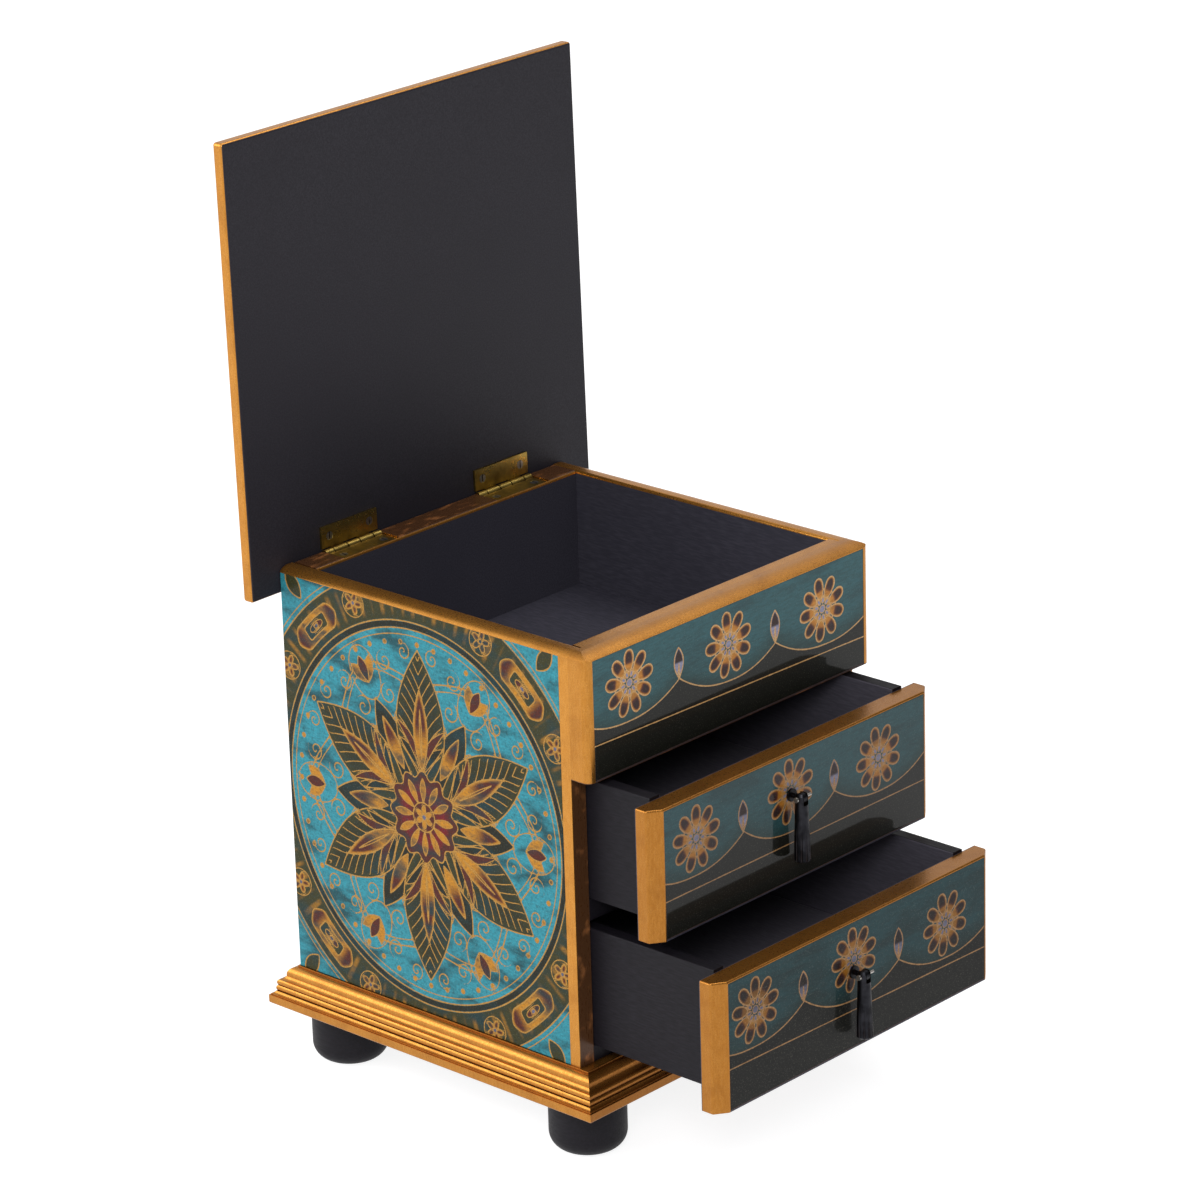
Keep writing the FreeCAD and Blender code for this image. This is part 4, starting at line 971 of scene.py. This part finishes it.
# The drawers' gold line is painted darker than the band's: painted shade.
THREAD_DRAWER_SHADED = (tint(122, 90, 56), tint(158, 120, 80))
THREAD_SIDE = (tint(130, 92, 36), tint(162, 122, 58))
ALONG_X, ALONG_Y = (5, 1, 1), (1, 2.5, 1)
for node, smudge, thread, coat in (("band_glass", 0.3, THREAD_BAND, 0.32),
                                   ("upper_drawer_glass", 0.35, THREAD_DRAWER_SHADED, 0.34),
                                   ("lower_drawer_glass", 0.4, THREAD_DRAWER_SHADED, 0.15)):
    glass = painted_glass(f"painted_{node}", ALONG_X, smudge, OLIVE_BLACK, thread, LINE_HALF, coat)
    pane(node, X, Z, FRONT_CELL, glass, lambda a, b: front_painting(a, b, **FRONTS[node]))

# %% Panes of the sides and the lid
SIDE_MIDDLE, SIDE_RADII, SIDE_LEAVES = 120.1, (69.3, 73.5), 6
# The lid's paint is brightened by this factor: painted light.
LID_RADII, LID_LEAVES, LID_PAINTED_LIGHT = (82, 78), 8, 1.5
SIDE_COAT = 0.14
side_glass = painted_glass("painted_glass_side", ALONG_Y, 0.85, TURQUOISE_DEEP, THREAD_SIDE,
                           LINE_HALF, SIDE_COAT)
lid_glass = painted_glass("painted_glass_lid", (2.5, 1, 1), 0.75, TURQUOISE_DEEP, THREAD_SIDE,
                          LINE_HALF_LID, SIDE_COAT)
for side, across in (("left", -Y), ("right", Y)):
    node = f"{side}_side_glass"
    start, end = (edge / MM for edge in span(node, across))
    middle = ((start + end) / 2, SIDE_MIDDLE)
    pane(node, across, Z, SIDE_CELL, side_glass,
         lambda a, b: round_painting(a, b, middle, SIDE_RADII, SIDE_LEAVES))

start, end = (edge / MM for edge in span("lid_glass", -LID_DOWN))
middle = (0.0, (start + end) / 2)
pane("lid_glass", -X, -LID_DOWN, LID_CELL, lid_glass,
     lambda a, b: round_painting(a, b, middle, LID_RADII, LID_LEAVES, LID_PAINTED_LIGHT))

# %% [markdown]
# ## Turned feet
# The feet are turned on a lathe, so each is a profile carried round an upright line. The
# profile is a quarter circle at the table, a straight side and a small round at the plinth.
# A cylinder with a bevel would do as well, but here the profile says each round by itself.

# %% Profile and lathe
FOOT_RADIUS, FOOT_HEIGHT, FOOT_ROUND, FOOT_SHOULDER = 15 * MM, 23.4 * MM, 7 * MM, 1.4 * MM
FOOT_STEPS = 72
FOOT_SHARP = math.radians(40)


def arc(middle, radius, start, end, count):
    """Points (out, up) of an arc: middle + radius (cos, sin)."""
    angle = np.radians(np.linspace(start, end, count))
    return np.stack([middle[0] + radius * np.cos(angle), middle[1] + radius * np.sin(angle)], -1)


def turned(name, profile, centre, steps):
    """Profile (out, up) carried round: centre + out (cos, sin), closed on its axis."""
    angle = np.linspace(0, 2 * math.pi, steps, endpoint=False)
    out, up = profile[:, 0, None], profile[:, 1, None]
    ring_points = np.stack([centre[0] + out * np.cos(angle), centre[1] + out * np.sin(angle),
                            centre[2] + up + 0 * angle], -1)
    number = np.arange(len(profile) * steps).reshape(len(profile), steps)
    beside = np.roll(number, -1, 1)
    quads = np.stack([number[:-1], beside[:-1], beside[1:], number[1:]], -1).reshape(-1, 4)
    faces = quads.tolist() + [number[0, ::-1].tolist(), number[-1].tolist()]
    mesh = bpy.data.meshes.new(name)
    mesh.from_pydata(ring_points.reshape(-1, 3).tolist(), [], faces)
    mesh.shade_smooth()
    mesh.set_sharp_from_angle(angle=FOOT_SHARP)
    piece = bpy.data.objects.new(name, mesh)
    bpy.context.scene.collection.objects.link(piece)
    return piece


# %% Feet
foot_profile = np.concatenate([
    [(FOOT_RADIUS - FOOT_ROUND - MM, 0)],
    arc((FOOT_RADIUS - FOOT_ROUND, FOOT_ROUND), FOOT_ROUND, -90, 0, 14),
    arc((FOOT_RADIUS - FOOT_SHOULDER, FOOT_HEIGHT - FOOT_SHOULDER), FOOT_SHOULDER, 0, 90, 7)])
for corner in ("front_left", "front_right", "back_left", "back_right"):
    node = f"{corner}_foot"
    low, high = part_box(node)
    centre = ((low.x + high.x) / 2, (low.y + high.y) / 2, 0)
    foot = turned(f"{node}_turned", foot_profile, centre, FOOT_STEPS)
    foot.data.materials.append(finishes["black_wood"])
    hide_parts(node)
    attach(foot, "case")
print("feet are turned")

# %% [markdown]
# ## Last step
# The view layer is brought up to date, so that every piece stands where its body puts it.

# %% Finish
bpy.context.view_layer.update()
